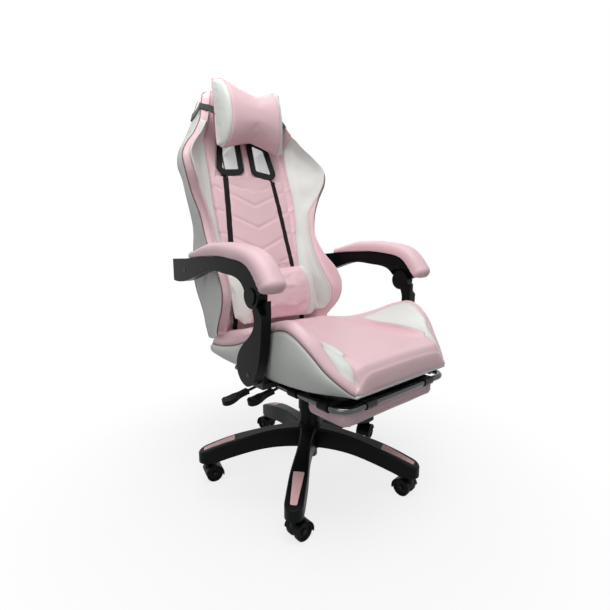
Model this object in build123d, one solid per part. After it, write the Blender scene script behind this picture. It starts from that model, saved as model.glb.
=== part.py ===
from build123d import *
import os
from math import cos, radians, sin

# Reclining desk chair: five-star base on castors, gas lift, bucket seat, winged back,
# link-type armrests that follow the back, and a slide-out footrest under the seat.
# Millimetres. The origin is on the floor under the lift axis, +Z is up, the chair faces -Y.

# Fits shared by every joint
RUN_FIT = 0.05
PIVOT_FIT = 0.3
SIDE_FIT = 0.4
SOFT_FIT = 0.4

# Five-star base
LEG_COUNT = 5
LEG_TURN = 5.8
STEM_CIRCLE_R = 325.0
LEG_END_R = 352.0
LEG_MID_R = 190.0
LEG_ROOT_TOP = 160.0
LEG_MID_TOP = 145.0
LEG_END_TOP = 97.0
LEG_ROOT_UNDER = 93.0
LEG_MID_UNDER = 92.0
LEG_FOOT_R = 302.0
LEG_FOOT_Z = 66.0
LEG_ROOT_HW = 30.0
LEG_WAIST_R = 150.0
LEG_WAIST_HW = 20.0
LEG_FLARE_R = 236.0
LEG_FLARE_HW = 25.0
LEG_WALL = 4.0
LEG_RIB = 3.0
LEG_RIB_RADII = (92.0, 136.0, 180.0, 224.0, 268.0)
LEG_EDGE_R = 5.0
HUB_R = 41.0
HUB_BOTTOM = 92.0
HUB_TOP = 166.0
HUB_SLEEVE_WALL = 5.0
HUB_ROOF = 10.0
STEM_BOSS_R = 13.0
INLAY_R0 = 240.0
INLAY_R1 = 336.0
INLAY_HW0 = 15.5
INLAY_HW1 = 9.0
INLAY_CORNER = 4.0
INLAY_SINK = 2.0
INLAY_PROUD = 1.0
INLAY_FIT = 0.2

# Castors
WHEEL_R = 25.0
WHEEL_W = 18.0
WHEEL_EDGE = 4.0
WHEEL_DISH = 5.0
WHEEL_RIM = 5.0
WHEEL_HUB_R = 8.0
AXLE_R = 3.5
CASTOR_TRAIL = 16.0
CASTOR_TURNS = (200.0, 100.0, -15.0, 0.0, 95.0)
HOOD_WEB = 12.0
HOOD_GAP = 1.4
HOOD_SKIN = 2.6
HOOD_LIP = 1.2
HOOD_TOP = 61.0
HOOD_BOSS_R = 11.0
HOOD_DROP = 7.0
STEM_R = 5.5
STEM_FLANGE_R = 9.5
STEM_GRIP = 31.0
STEM_ROOT_Z = 31.0

# Gas lift
COLUMN_R = 25.0
COLUMN_WALL = 1.5
COLUMN_BOTTOM = 56.0
COLUMN_TOP = 258.0
COLUMN_FLOOR = 4.0
SLEEVE_LEN = 92.0
BEARING_R = 16.0
BEARING_H = 8.0
ROD_R = 5.0
ROD_TOP = 236.0
PISTON_R = 10.6
PISTON_H = 12.0
CYL_R = 14.0
CYL_WALL = 3.0
CYL_BOTTOM = 140.0
CYL_CAP = 14.0
COVER_WALL = 2.0
COVER_STEP = 3.2
COVER_LOW_R = 30.5
COVER_LOW_TOP = 238.0
COVER_MID_Z0 = 216.0
COVER_MID_Z1 = 288.0
COVER_UP_Z0 = 266.0

# Seat chassis and frame
HOUSING_Z0 = 342.0
HOUSING_HX = 72.0
HOUSING_HY = 98.0
HOUSING_TAPER = 14.0
HOUSING_WALL = 3.0
SOCKET_WALL = 5.0
PLATE_HX = 100.0
PLATE_HY = 118.0
PLATE_T = 4.0
FRAME_Z0 = 380.0
FRAME_H = 18.0
FRAME_BAR = 22.0
FRAME_WALL = 2.0
FRAME_HX = 186.0
FRAME_Y0 = -318.0
FRAME_Y1 = 176.0
FRAME_CORNER = 45.0
CROSS_Y = (-90.0, 90.0)
CROSS_W = 40.0
CROSS_T = 4.0
WEB_T = 2.0
WEB_W = 52.0
WEB_COUNT = 5

# Bucket seat: front-to-rear stations of (y, foot half-width, flank half-width, ridge z, crown z)
SEAT_SPLIT = 158.0
SEAT_VALLEY = 140.0
SEAT_STATIONS = (
    (186.0, 232.0, 242.0, 438.0, 464.0),
    (120.0, 243.0, 251.0, 444.0, 478.0),
    (30.0, 247.0, 254.0, 469.0, 478.0),
    (-70.0, 249.0, 257.0, 511.0, 477.0),
    (-150.0, 246.0, 259.0, 543.0, 477.0),
    (-215.0, 238.0, 256.0, 551.0, 478.0),
    (-268.0, 224.0, 244.0, 522.0, 477.0),
    (-308.0, 203.0, 224.0, 479.0, 471.0),
    (-336.0, 187.0, 205.0, 452.0, 456.0),
    (-353.0, 178.0, 190.0, 434.0, 437.0),
    (-361.0, 173.0, 181.0, 420.0, 421.0),
)
SEAT_CORNER = 22.0
SEAT_FLANK_BULGE = 4.0
SEAT_BOLSTER_BULGE = 5.0

# Back, drawn upright and then leaned: (height, wing half-width, rear half-width, depth, wing rise)
BACK_TILT = 16.0
BACK_STATIONS = (
    (0.0, 230.0, 204.0, 60.0, 66.0),
    (32.0, 238.0, 206.0, 68.0, 102.0),
    (62.0, 240.0, 206.0, 73.0, 124.0),
    (100.0, 238.0, 210.0, 77.0, 136.0),
    (155.0, 235.0, 221.0, 80.0, 124.0),
    (225.0, 230.0, 226.0, 84.0, 84.0),
    (295.0, 230.0, 211.0, 86.0, 62.0),
    (365.0, 238.0, 200.0, 88.0, 64.0),
    (430.0, 261.0, 203.0, 90.0, 77.0),
    (485.0, 282.0, 207.0, 90.0, 104.0),
    (530.0, 285.0, 211.0, 89.0, 110.0),
    (572.0, 260.0, 218.0, 87.0, 101.0),
    (620.0, 220.0, 208.0, 85.0, 88.0),
    (672.0, 187.0, 177.0, 82.0, 78.0),
    (735.0, 162.0, 142.0, 76.0, 66.0),
    (795.0, 128.0, 116.0, 66.0, 36.0),
    (830.0, 102.0, 95.0, 50.0, 14.0),
    (846.0, 80.0, 76.0, 30.0, 4.0),
)
BACK_SPLIT = 130.0
BACK_VALLEY = 150.0
BACK_VALLEY_IN = 58.0
BACK_EDGE = 21.0
BACK_CROWN = 5.0
BACK_WING_BULGE = 6.0
PANEL_T = 10.0
QUILT_DEPTH = 62.0
QUILT_W0 = 14.0
QUILT_W1 = 528.0
CHEVRON_FIRST = 180.0
CHEVRON_PITCH = 78.0
CHEVRON_COUNT = 5
CHEVRON_RISE = 56.0
CHEVRON_R = 3.5
CHEVRON_SINK = 1.0

# Strap openings through the back, corners (x, height) of the near-upright opening
PORT_CORNERS = ((35.0, 546.0), (102.0, 538.0), (84.0, 628.0), (35.0, 642.0))
PORT_ROUND = 8.0
PORT_RIM = 20.0
PORT_WALL = 3.0
PORT_FLANGE = 8.0
PORT_FIT = 0.3

# Recliner, and the arm links: one parallelogram of pivots (y, z)
RECLINE_Y = 241.0
RECLINE_Z = 460.0
BACK_BELOW = 13.0
BACK_BEHIND = 31.0
LEG_PIVOT_Y = -112.0
LEG_PIVOT_Z = 420.0
LINK_DY = -19.0
LINK_DZ = 198.0
PIVOT_R = 6.0
RECLINER_T = 6.0
RECLINER_EYE_R = 17.0
RECLINER_ARM_Y = 60.0
NOTCH_HEIGHT = 52.0
NOTCH_DEPTH = 66.0
NOTCH_SIDE = 12.0
TUBE_R = 11.0
TUBE_WALL = 1.6
TUBE_X = 168.0
TUBE_TOP_X = 118.0
TUBE_SHOULDER = 560.0
TUBE_TOP = 716.0
TUBE_BEND = 45.0
ARM_PLATE_T = 6.0
ARM_PLATE_HW = 16.0
ARM_PLATE_X = 202.0
ARM_COLLAR_R = 11.0

# Armrests
ARM_X0 = 274.0
ARM_T = 28.0
ARM_DISC_R = 30.0
ARM_REAR_Y = 302.0
ARM_CAP_R = 21.0
ARM_CAP_T = 4.0
ARM_PAD_W = 70.0
ARM_PAD_T = 33.0
ARM_PAD_NOSE = 10.0
ARM_PAD_ROUND = 11.0
ARM_PAD_SHORT = 50.0
ARM_LAP_FRONT = 47.0
BRACKET_T = 6.0
BRACKET_HW = 22.0
BRACKET_ARM_H = 14.0

# Footrest
RAIL_R = 8.0
RAIL_X = 207.0
RAIL_Z = 370.0
RAIL_FRONT_Y = -346.0
RAIL_REAR_Y = 96.0
RAIL_BEND = 38.0
RAIL_WALL = 1.5
GUIDE_Y = (-286.0, -176.0)
GUIDE_LEN = 32.0
GUIDE_WALL = 4.0
REST_HX = 184.0
REST_Y0 = -331.0
REST_Y1 = -188.0
REST_TOP = 363.0
REST_BOARD_T = 8.0
REST_PAD_T = 40.0
REST_EDGE = 12.0
REST_CROWN = 5.0
CLIP_X = 118.0
CLIP_W = 34.0
CLIP_T = 3.0
CLIP_REACH = 40.0

# Levers under the right side
LEVER_R = 4.0
LEVER_PIN_R = 2.5
LEVER_PIVOT_X = 62.0
LEVER_SLOT = 2.0
LEVER_EAR = 4.0
LEVER_DROOP = 11.0
LEVER_EYE_Z = 356.0
HEIGHT_LEVER_Y = -52.0
RECLINE_LEVER_Y = 12.0
HEIGHT_LEVER_REACH = 200.0
RECLINE_LEVER_REACH = 242.0
GRIP_LEN = 82.0
GRIP_W = 35.0
GRIP_NECK_W = 17.0
GRIP_T = 14.0
GRIP_OVERLAP = 14.0

# Pillows
HEAD_W = 700.0
HEAD_OUT = 152.0
HEAD_LEAN = 10.8
HEAD_HX = 130.0
HEAD_HZ_END = 107.0
HEAD_HZ_MID = 92.0
HEAD_HT = 48.0
HEAD_REAR_T = 65.8
HEAD_END_HT = 12.0
STRAP_W = 26.0
STRAP_T = 2.0
STRAP_AT = 735.0
STRAP_NEAR = 0.6
STRAP_END_X = 131.0
LUMBAR_W = 104.0
LUMBAR_OUT = 124.3
LUMBAR_HX = 172.0
LUMBAR_HZ_END = 82.0
LUMBAR_HZ_MID = 76.0
LUMBAR_HT = 41.6
LUMBAR_BEND = 22.0
LUMBAR_END_HT = 6.0

# Places that follow from the sizes above
SEAT_Z = FRAME_Z0 + FRAME_H + WEB_T
ARM_PIVOT = (LEG_PIVOT_Y + LINK_DY, LEG_PIVOT_Z + LINK_DZ)
REAR_PIVOT = (RECLINE_Y + LINK_DY, RECLINE_Z + LINK_DZ)
TILT = radians(BACK_TILT)
BACK_Y = RECLINE_Y + BACK_BEHIND * cos(TILT) - BACK_BELOW * sin(TILT)
BACK_Z = RECLINE_Z - BACK_BEHIND * sin(TILT) - BACK_BELOW * cos(TILT)
BACK_FRAME = Plane(origin=(0, BACK_Y, BACK_Z), x_dir=(1, 0, 0), z_dir=(0, sin(TILT), cos(TILT)))
UP = (Align.CENTER, Align.CENTER, Align.MIN)
BIG = 3.0 * LEG_END_R


def to_back(y, z):
    """Depth and height, in the upright back, of a point given in the chair's side view."""
    dy = y - BACK_Y
    dz = z - BACK_Z
    return dy * cos(TILT) - dz * sin(TILT), dy * sin(TILT) + dz * cos(TILT)


def rod_x(radius, x0, x1, y, z):
    """Round bar along X."""
    bar = Cylinder(radius, abs(x1 - x0), rotation=(0, 90, 0))
    return Pos((x0 + x1) / 2, y, z) * bar


def tube_z(r_out, r_in, z0, z1):
    """Upright tube on the lift axis."""
    ring = Circle(r_out) - Circle(r_in)
    return extrude(Pos(0, 0, z0) * ring, z1 - z0)


def side_plate(face, x0, x1):
    """A side-view profile, drawn in (y, z), given its thickness along X."""
    return extrude(Plane.YZ.offset(x0) * face, x1 - x0)


def mirrored(part):
    return mirror(part, about=Plane.YZ)


def block(x0, x1, y0, y1, z0, z1):
    return Pos((x0 + x1) / 2, (y0 + y1) / 2, (z0 + z1) / 2) * Box(x1 - x0, y1 - y0, z1 - z0)


def group(parts):
    return Compound([solid for part in parts for solid in part.solids()])


# Base


def leg_top(lift):
    """Upper line of a leg in its own (r, z) plane, raised by lift."""
    root = (0, LEG_ROOT_TOP + lift)
    middle = (LEG_MID_R, LEG_MID_TOP + lift)
    return ThreePointArc(root, middle, (LEG_END_R, LEG_END_TOP + lift))


def leg_slice(lift_top, lift_under, half):
    """Side view of the leg between its top line and its arched underside."""
    top = leg_top(lift_top)
    under = ThreePointArc(
        (0, LEG_ROOT_UNDER + lift_under),
        (LEG_MID_R, LEG_MID_UNDER + lift_under),
        (LEG_FOOT_R, LEG_FOOT_Z + lift_under),
    )
    face = make_face([
        top,
        Line(top @ 1, (LEG_END_R, LEG_FOOT_Z + lift_under)),
        Line((LEG_END_R, LEG_FOOT_Z + lift_under), under @ 1),
        under,
        Line(under @ 0, top @ 0),
    ])
    return extrude(Plane.XZ.offset(-half) * face, 2 * half)


def leg_plan(inset, z0, z1):
    """Plan view of the leg: a waist, a flare and a round end."""
    tip = LEG_END_R - LEG_FLARE_HW
    pts = [
        (0, LEG_ROOT_HW - inset),
        (LEG_WAIST_R, LEG_WAIST_HW - inset),
        (LEG_FLARE_R, LEG_FLARE_HW - inset),
        (tip, LEG_FLARE_HW - inset),
    ]
    upper = Spline(pts, tangents=((1, -0.12), (1, 0)))
    lower = Spline([(x, -y) for x, y in pts], tangents=((1, 0.12), (1, 0)))
    nose = ThreePointArc(upper @ 1, (LEG_END_R - inset, 0), lower @ 1)
    face = make_face([upper, nose, lower, Line(lower @ 0, upper @ 0)])
    return extrude(Pos(0, 0, z0) * face, z1 - z0)


def inlay_plan(grow, z0, z1):
    outline = Polyline(
        (INLAY_R0 - grow, -INLAY_HW0 - grow),
        (INLAY_R1 + grow, -INLAY_HW1 - grow),
        (INLAY_R1 + grow, INLAY_HW1 + grow),
        (INLAY_R0 - grow, INLAY_HW0 + grow),
        close=True,
    )
    face = make_face(outline)
    face = fillet(face.vertices(), INLAY_CORNER)
    return extrude(Pos(0, 0, z0) * face, z1 - z0)


def inlay_band(low, high):
    """Layer that follows the leg's top line between two offsets."""
    upper = leg_top(high)
    lower = leg_top(low)
    face = make_face([upper, Line(upper @ 1, lower @ 1), lower, Line(lower @ 0, upper @ 0)])
    return extrude(Plane.XZ.offset(-LEG_ROOT_HW) * face, 2 * LEG_ROOT_HW)


def base_leg():
    z_low = LEG_FOOT_Z - 10
    z_high = LEG_ROOT_TOP + 20
    outer = leg_slice(0, 0, LEG_ROOT_HW) & leg_plan(0, z_low, z_high)
    crest = outer.faces().sort_by(Axis.Z)[-1]
    rim = [edge for edge in crest.edges() if edge.center().X > HUB_R]
    outer = fillet(rim, LEG_EDGE_R)
    core = leg_slice(-LEG_WALL, -LEG_ROOT_UNDER, LEG_ROOT_HW) & leg_plan(LEG_WALL, 0, z_high)
    ribs = block(0, LEG_FOOT_R, -LEG_RIB / 2, LEG_RIB / 2, z_low, z_high)
    for radius in LEG_RIB_RADII:
        ribs += block(radius, radius + LEG_RIB, -LEG_ROOT_HW, LEG_ROOT_HW, z_low, z_high)
    ribs += Pos(STEM_CIRCLE_R, 0, z_low) * Cylinder(STEM_BOSS_R, z_high - z_low, align=UP)
    leg = (outer - core) + (ribs & outer)
    pocket = inlay_plan(INLAY_FIT, z_low, z_high)
    pocket &= inlay_band(-INLAY_SINK - INLAY_FIT, LEG_END_TOP)
    socket_h = STEM_GRIP + 1
    socket = Pos(STEM_CIRCLE_R, 0, LEG_FOOT_Z - 1) * Cylinder(STEM_R + RUN_FIT, socket_h, align=UP)
    return leg - pocket - socket


def leg_inlay():
    return inlay_plan(0, LEG_FOOT_Z, LEG_ROOT_TOP) & inlay_band(-INLAY_SINK, INLAY_PROUD)


def leg_angle(index):
    return LEG_TURN + 360.0 / LEG_COUNT * index


def base_star():
    leg = base_leg()
    profile = make_face(Polyline(
        (COLUMN_R, HUB_BOTTOM),
        (COLUMN_R + HUB_SLEEVE_WALL, HUB_BOTTOM),
        (COLUMN_R + HUB_SLEEVE_WALL, HUB_TOP - HUB_ROOF),
        (HUB_R - LEG_WALL, HUB_TOP - HUB_ROOF - 4),
        (HUB_R - LEG_WALL, LEG_ROOT_UNDER - 2),
        (HUB_R, LEG_ROOT_UNDER - 2),
        (HUB_R, HUB_TOP - 7),
        (HUB_R - 7, HUB_TOP),
        (COLUMN_R, HUB_TOP),
        close=True,
    ))
    star = revolve(Plane.XZ * profile, Axis.Z)
    keep_out = Pos(0, 0, LEG_FOOT_Z) * Cylinder(COLUMN_R + HUB_SLEEVE_WALL - 1, HUB_TOP, align=UP)
    arm = leg - keep_out
    for index in range(LEG_COUNT):
        star += Rot(0, 0, leg_angle(index)) * arm
    return star


def leg_inlays():
    inlay = leg_inlay()
    return group([Rot(0, 0, leg_angle(index)) * inlay for index in range(LEG_COUNT)])


# Castors


def castor_place(index):
    angle = leg_angle(index)
    return Rot(0, 0, angle) * Pos(STEM_CIRCLE_R, 0, 0) * Rot(0, 0, CASTOR_TURNS[index] - angle)


def castor_width():
    return HOOD_WEB / 2 + SIDE_FIT + WHEEL_W


def castor_hood():
    """Twin-wheel castor hood: a fender over both wheels, a web between them and the stem's boss."""
    inner_r = WHEEL_R + HOOD_GAP
    outer_r = inner_r + HOOD_SKIN
    half = castor_width() + HOOD_LIP
    axle = Pos(CASTOR_TRAIL, 0, WHEEL_R) * Rot(90, 0, 0)
    fender = axle * Cylinder(outer_r, 2 * half)
    boss = Pos(0, 0, WHEEL_R) * Cylinder(HOOD_BOSS_R, HOOD_TOP - WHEEL_R, align=UP)
    shell = fender + boss
    for side in (-1, 1):
        mouth = (castor_width() + 2 * HOOD_LIP - HOOD_WEB / 2)
        cut = Pos(0, side * (HOOD_WEB / 2 + mouth / 2), 0) * axle * Cylinder(inner_r, mouth)
        shell -= cut
    low = block(-BIG, BIG, -BIG, BIG, -BIG, WHEEL_R - HOOD_DROP)
    tail = Pos(CASTOR_TRAIL, 0, WHEEL_R) * Rot(0, 24, 0) * block(-BIG, BIG, -BIG, BIG, -BIG, -HOOD_DROP)
    web = axle * Cylinder(WHEEL_R - WHEEL_RIM, HOOD_WEB)
    hood = (shell - low - tail) + web
    hood -= Pos(0, 0, STEM_ROOT_Z) * Cylinder(STEM_R, HOOD_TOP, align=UP)
    hood -= axle * Cylinder(AXLE_R, HOOD_WEB + 2)
    return hood


def castor_pins():
    stem_top = LEG_FOOT_Z + STEM_GRIP - 1
    stem = Pos(0, 0, STEM_ROOT_Z) * Cylinder(STEM_R, stem_top - STEM_ROOT_Z, align=UP)
    flange_h = LEG_FOOT_Z - PIVOT_FIT - HOOD_TOP
    stem += Pos(0, 0, HOOD_TOP) * Cylinder(STEM_FLANGE_R, flange_h, align=UP)
    stem = chamfer(stem.edges().group_by(Axis.Z)[-1], 1.0)
    axle = Pos(CASTOR_TRAIL, 0, WHEEL_R) * Rot(90, 0, 0) * Cylinder(AXLE_R, 2 * castor_width() - 4)
    return stem, axle


def castor_wheels():
    """Two wheels with rounded treads and dished outer faces."""
    inner = HOOD_WEB / 2 + SIDE_FIT
    outer = inner + WHEEL_W
    bore = AXLE_R + RUN_FIT
    tread_in = ThreePointArc(
        (WHEEL_R - WHEEL_EDGE, inner),
        (WHEEL_R - WHEEL_EDGE * 0.293, inner + WHEEL_EDGE * 0.293),
        (WHEEL_R, inner + WHEEL_EDGE),
    )
    tread_out = ThreePointArc(
        (WHEEL_R, outer - WHEEL_EDGE),
        (WHEEL_R - WHEEL_EDGE * 0.293, outer - WHEEL_EDGE * 0.293),
        (WHEEL_R - WHEEL_EDGE, outer),
    )
    dish = Polyline(
        (WHEEL_R - WHEEL_EDGE, outer),
        (WHEEL_R - WHEEL_RIM, outer),
        (WHEEL_R - WHEEL_RIM - 2, outer - WHEEL_DISH),
        (WHEEL_HUB_R + 1, outer - WHEEL_DISH),
        (WHEEL_HUB_R, outer - 1),
        (bore, outer - 1),
        (bore, inner),
        (WHEEL_R - WHEEL_EDGE, inner),
    )
    tread = Line((WHEEL_R, inner + WHEEL_EDGE), (WHEEL_R, outer - WHEEL_EDGE))
    face = make_face([tread_in, tread, tread_out] + list(dish.edges()))
    wheel = revolve(face, Axis.Y)
    wheel = Pos(CASTOR_TRAIL, 0, WHEEL_R) * wheel
    return wheel, mirror(wheel, about=Plane.XZ)


# Gas lift


def column_tube():
    shell = tube_z(COLUMN_R, COLUMN_R - COLUMN_WALL, COLUMN_BOTTOM, COLUMN_TOP)
    floor = tube_z(COLUMN_R - COLUMN_WALL, ROD_R + RUN_FIT, COLUMN_BOTTOM, COLUMN_BOTTOM + COLUMN_FLOOR)
    return shell + floor


def column_sleeve():
    return tube_z(COLUMN_R - COLUMN_WALL, CYL_R + RUN_FIT, COLUMN_TOP - SLEEVE_LEN, COLUMN_TOP)


def thrust_bearing():
    z0 = COLUMN_BOTTOM + COLUMN_FLOOR
    return tube_z(BEARING_R, ROD_R + RUN_FIT, z0, z0 + BEARING_H)


def piston_rod():
    """Rod with its piston, its shoulder on the thrust bearing and its clip under the column's floor."""
    seat = COLUMN_BOTTOM + COLUMN_FLOOR + BEARING_H + SIDE_FIT
    clip = COLUMN_BOTTOM - SIDE_FIT
    profile = Polyline(
        (0, clip - 4),
        (ROD_R, clip - 4),
        (ROD_R, clip - 3),
        (ROD_R + 4, clip - 3),
        (ROD_R + 4, clip),
        (ROD_R, clip),
        (ROD_R, seat),
        (ROD_R + 5, seat),
        (ROD_R + 5, seat + 3),
        (ROD_R, seat + 3),
        (ROD_R, ROD_TOP - PISTON_H),
        (PISTON_R, ROD_TOP - PISTON_H),
        (PISTON_R, ROD_TOP),
        (0, ROD_TOP),
        close=True,
    )
    return revolve(Plane.XZ * make_face(profile), Axis.Z)


def gas_cylinder():
    body = tube_z(CYL_R, CYL_R - CYL_WALL, CYL_BOTTOM, PLATE_Z0)
    body += tube_z(CYL_R - CYL_WALL, ROD_R + RUN_FIT, CYL_BOTTOM, CYL_BOTTOM + CYL_CAP)
    body += Pos(0, 0, PLATE_Z0 - CYL_CAP) * Cylinder(CYL_R - CYL_WALL, CYL_CAP, align=UP)
    return body


def cover_tube(inner_r, z0, z1, bead_z):
    """One section of the telescopic cover, with a bead at one end."""
    tube = tube_z(inner_r + COVER_WALL, inner_r, z0, z1)
    bead = tube_z(inner_r + COVER_WALL + 0.6, inner_r + COVER_WALL, bead_z, bead_z + 3)
    return tube + bead


# Seat chassis and frame

PLATE_Z0 = FRAME_Z0 - PLATE_T


def trough(hx, hy, taper, z0, z1):
    """Tapered pressing, narrower below."""
    low = Pos(0, 0, z0) * RectangleRounded(2 * (hx - taper), 2 * (hy - taper), 12)
    high = Pos(0, 0, z1) * RectangleRounded(2 * hx, 2 * hy, 16)
    return loft([low, high], ruled=True)


def chassis_housing():
    shell = trough(HOUSING_HX, HOUSING_HY, HOUSING_TAPER, HOUSING_Z0, PLATE_Z0)
    inner_x = HOUSING_HX - HOUSING_WALL
    inner_y = HOUSING_HY - HOUSING_WALL
    hollow = trough(inner_x, inner_y, HOUSING_TAPER, HOUSING_Z0 + HOUSING_WALL, PLATE_Z0 + 1)
    socket = Pos(0, 0, HOUSING_Z0) * Cylinder(CYL_R + SOCKET_WALL, PLATE_Z0 - HOUSING_Z0, align=UP)
    body = (shell - hollow) + socket
    body -= Pos(0, 0, HOUSING_Z0 - 1) * Cylinder(CYL_R, PLATE_Z0, align=UP)
    for lever_y in (HEIGHT_LEVER_Y, RECLINE_LEVER_Y):
        slot_y0 = lever_y - LEVER_R - LEVER_SLOT
        slot_y1 = lever_y + LEVER_R + LEVER_SLOT
        slot_x1 = -CYL_R - SOCKET_WALL - 4
        ear_x1 = -LEVER_PIVOT_X + LEVER_R + 8
        ears = block(-HOUSING_HX, ear_x1, slot_y0 - LEVER_EAR, slot_y1 + LEVER_EAR, HOUSING_Z0, PLATE_Z0)
        body += ears & shell
        body -= block(-HOUSING_HX - 2, slot_x1, slot_y0, slot_y1, LEVER_EYE_Z - 14, LEVER_EYE_Z + 12)
        bore = Rot(90, 0, 0) * Cylinder(LEVER_PIN_R + RUN_FIT, slot_y1 - slot_y0 + 2 * LEVER_EAR + 2)
        body -= Pos(-LEVER_PIVOT_X, lever_y, LEVER_EYE_Z) * bore
    return body


def chassis_plate():
    """Pressed top plate with turned-down edges, long bolt slots and a hole for the valve."""
    plate = extrude(Pos(0, 0, PLATE_Z0) * RectangleRounded(2 * PLATE_HX, 2 * PLATE_HY, 14), PLATE_T)
    for side in (-1, 1):
        lip_x = side * (PLATE_HX - PLATE_T / 2)
        plate += Pos(lip_x, 0, PLATE_Z0 - 5) * Box(PLATE_T, 2 * PLATE_HY - 40, 10)
        for y in CROSS_Y:
            slot = extrude(Pos(side * (PLATE_HX - 18), y, PLATE_Z0 - 1) * SlotOverall(20, 7), PLATE_T + 2)
            plate -= slot
    return plate - Pos(0, 0, PLATE_Z0 - 1) * Cylinder(CYL_R - CYL_WALL, PLATE_T + 2, align=UP)


def frame_ring(inset, z0, z1):
    depth = FRAME_Y1 - FRAME_Y0
    middle = (FRAME_Y0 + FRAME_Y1) / 2
    corner = FRAME_CORNER - inset
    face = RectangleRounded(2 * (FRAME_HX - inset), depth - 2 * inset, corner)
    return extrude(Pos(0, middle, z0) * face, z1 - z0)


def seat_frame():
    """Rolled channel frame, open at the top, with two cross straps for the chassis."""
    top = FRAME_Z0 + FRAME_H
    ring = frame_ring(0, FRAME_Z0, top) - frame_ring(FRAME_BAR, FRAME_Z0 - 1, top + 1)
    groove = frame_ring(FRAME_WALL, FRAME_Z0 + FRAME_WALL, top + 1)
    groove -= frame_ring(FRAME_BAR - FRAME_WALL, FRAME_Z0, top + 2)
    ring -= groove
    reach = FRAME_HX - FRAME_BAR + FRAME_WALL / 2
    for y in CROSS_Y:
        strap = block(-reach, reach, y - CROSS_W / 2, y + CROSS_W / 2, FRAME_Z0, FRAME_Z0 + CROSS_T)
        for side in (-1, 1):
            strap -= extrude(Pos(side * (PLATE_HX - 18), y, FRAME_Z0 - 1) * SlotOverall(20, 7), CROSS_T + 2)
        ring += strap
    return ring


def seat_webbing():
    span = FRAME_Y1 - FRAME_Y0 - 2 * FRAME_CORNER - WEB_W
    step = span / (WEB_COUNT - 1)
    first = FRAME_Y0 + FRAME_CORNER + WEB_W / 2
    top = FRAME_Z0 + FRAME_H
    bands = []
    for index in range(WEB_COUNT):
        y = first + step * index
        bands.append(block(-FRAME_HX + 4, FRAME_HX - 4, y - WEB_W / 2, y + WEB_W / 2, top, top + WEB_T))
    return group(bands)


# Seat upholstery


def bulged(start, end, bulge):
    """Arc from start to end whose middle stands off the chord to the right by bulge."""
    first = Vector(start)
    last = Vector(end)
    across = (last - first).normalized()
    middle = (first + last) / 2 + Vector(across.Y, -across.X) * bulge
    return ThreePointArc(start, middle, end)


def seat_section(station):
    y, foot, flank, ridge, crown = station
    corner = min(SEAT_CORNER, 0.6 * (ridge - SEAT_Z))
    valley = min(SEAT_VALLEY, flank - 55)
    valley_z = crown - 3
    right = [
        bulged((foot, SEAT_Z), (flank, ridge - corner), SEAT_FLANK_BULGE),
        bulged((flank, ridge - corner), (flank - corner, ridge), 0.2 * corner),
        bulged((flank - corner, ridge), (valley, valley_z), SEAT_BOLSTER_BULGE),
    ]
    left = [
        bulged((-valley, valley_z), (-flank + corner, ridge), SEAT_BOLSTER_BULGE),
        bulged((-flank + corner, ridge), (-flank, ridge - corner), 0.2 * corner),
        bulged((-flank, ridge - corner), (-foot, SEAT_Z), SEAT_FLANK_BULGE),
    ]
    crown_arc = ThreePointArc((valley, valley_z), (0, crown), (-valley, valley_z))
    bottom = Line((-foot, SEAT_Z), (foot, SEAT_Z))
    face = make_face([bottom] + right + [crown_arc] + left)
    return Plane(origin=(0, y, 0), x_dir=(1, 0, 0), z_dir=(0, -1, 0)) * face


def seat_pieces():
    """Centre cushion and the two side bolsters, cut from one lofted bucket."""
    bucket = loft([seat_section(station) for station in SEAT_STATIONS])
    centre = bucket & block(-SEAT_SPLIT, SEAT_SPLIT, -BIG, BIG, 0, BIG)
    left = bucket & block(SEAT_SPLIT, BIG, -BIG, BIG, 0, BIG)
    right = bucket & block(-BIG, -SEAT_SPLIT, -BIG, BIG, 0, BIG)
    return centre, left, right


# Back


def back_section(station, grow=0.0):
    """Plan section of the back: flat rear, leaning sides, rounded wing edges and a crowned centre."""
    height, wing, rear, depth, rise = station
    wing += grow
    rear += grow
    depth += grow
    front = depth + rise
    edge = min(BACK_EDGE, 0.6 * front)
    valley = min(BACK_VALLEY, wing - BACK_VALLEY_IN)
    right = [
        Line((rear, grow), (wing, -front + edge)),
        bulged((wing, -front + edge), (wing - edge, -front), -0.2 * edge),
        bulged((wing - edge, -front), (valley, -depth), -BACK_WING_BULGE),
    ]
    left = [
        bulged((-valley, -depth), (-wing + edge, -front), -BACK_WING_BULGE),
        bulged((-wing + edge, -front), (-wing, -front + edge), -0.2 * edge),
        Line((-wing, -front + edge), (-rear, grow)),
    ]
    crown = ThreePointArc((valley, -depth), (0, -depth - BACK_CROWN), (-valley, -depth))
    face = make_face(right + [crown] + left + [Line((-rear, grow), (rear, grow))])
    return Pos(0, 0, height) * face


def port_face(grow):
    corners = make_face(Polyline(*PORT_CORNERS, close=True))
    corners = fillet(corners.vertices(), PORT_ROUND)
    if grow > 0:
        corners = offset(corners, grow)
    return corners


def port_prism(grow, y0, y1):
    """Right-hand strap opening's outline carried through the depth of the upright back."""
    return extrude(Plane.XZ.offset(-y1) * port_face(grow), y1 - y0)


def port_front():
    """Depth of the flat seat for the front rims: just under the lowest cushion around them."""
    return min(station[3] for station in BACK_STATIONS if QUILT_W1 <= station[0] <= QUILT_W1 + 120) - 3


def strap_bezel():
    """Rimmed duct through the back: front rim, rear rim and the wall that joins them."""
    front = port_front()
    duct = port_prism(PORT_WALL, -front - PORT_FLANGE, PORT_FLANGE)
    duct += port_prism(PORT_RIM, -front - PORT_FLANGE, -front)
    duct += port_prism(PORT_RIM, 0, PORT_FLANGE)
    return duct - port_prism(0, -front - PORT_FLANGE - 1, PORT_FLANGE + 1)


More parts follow.
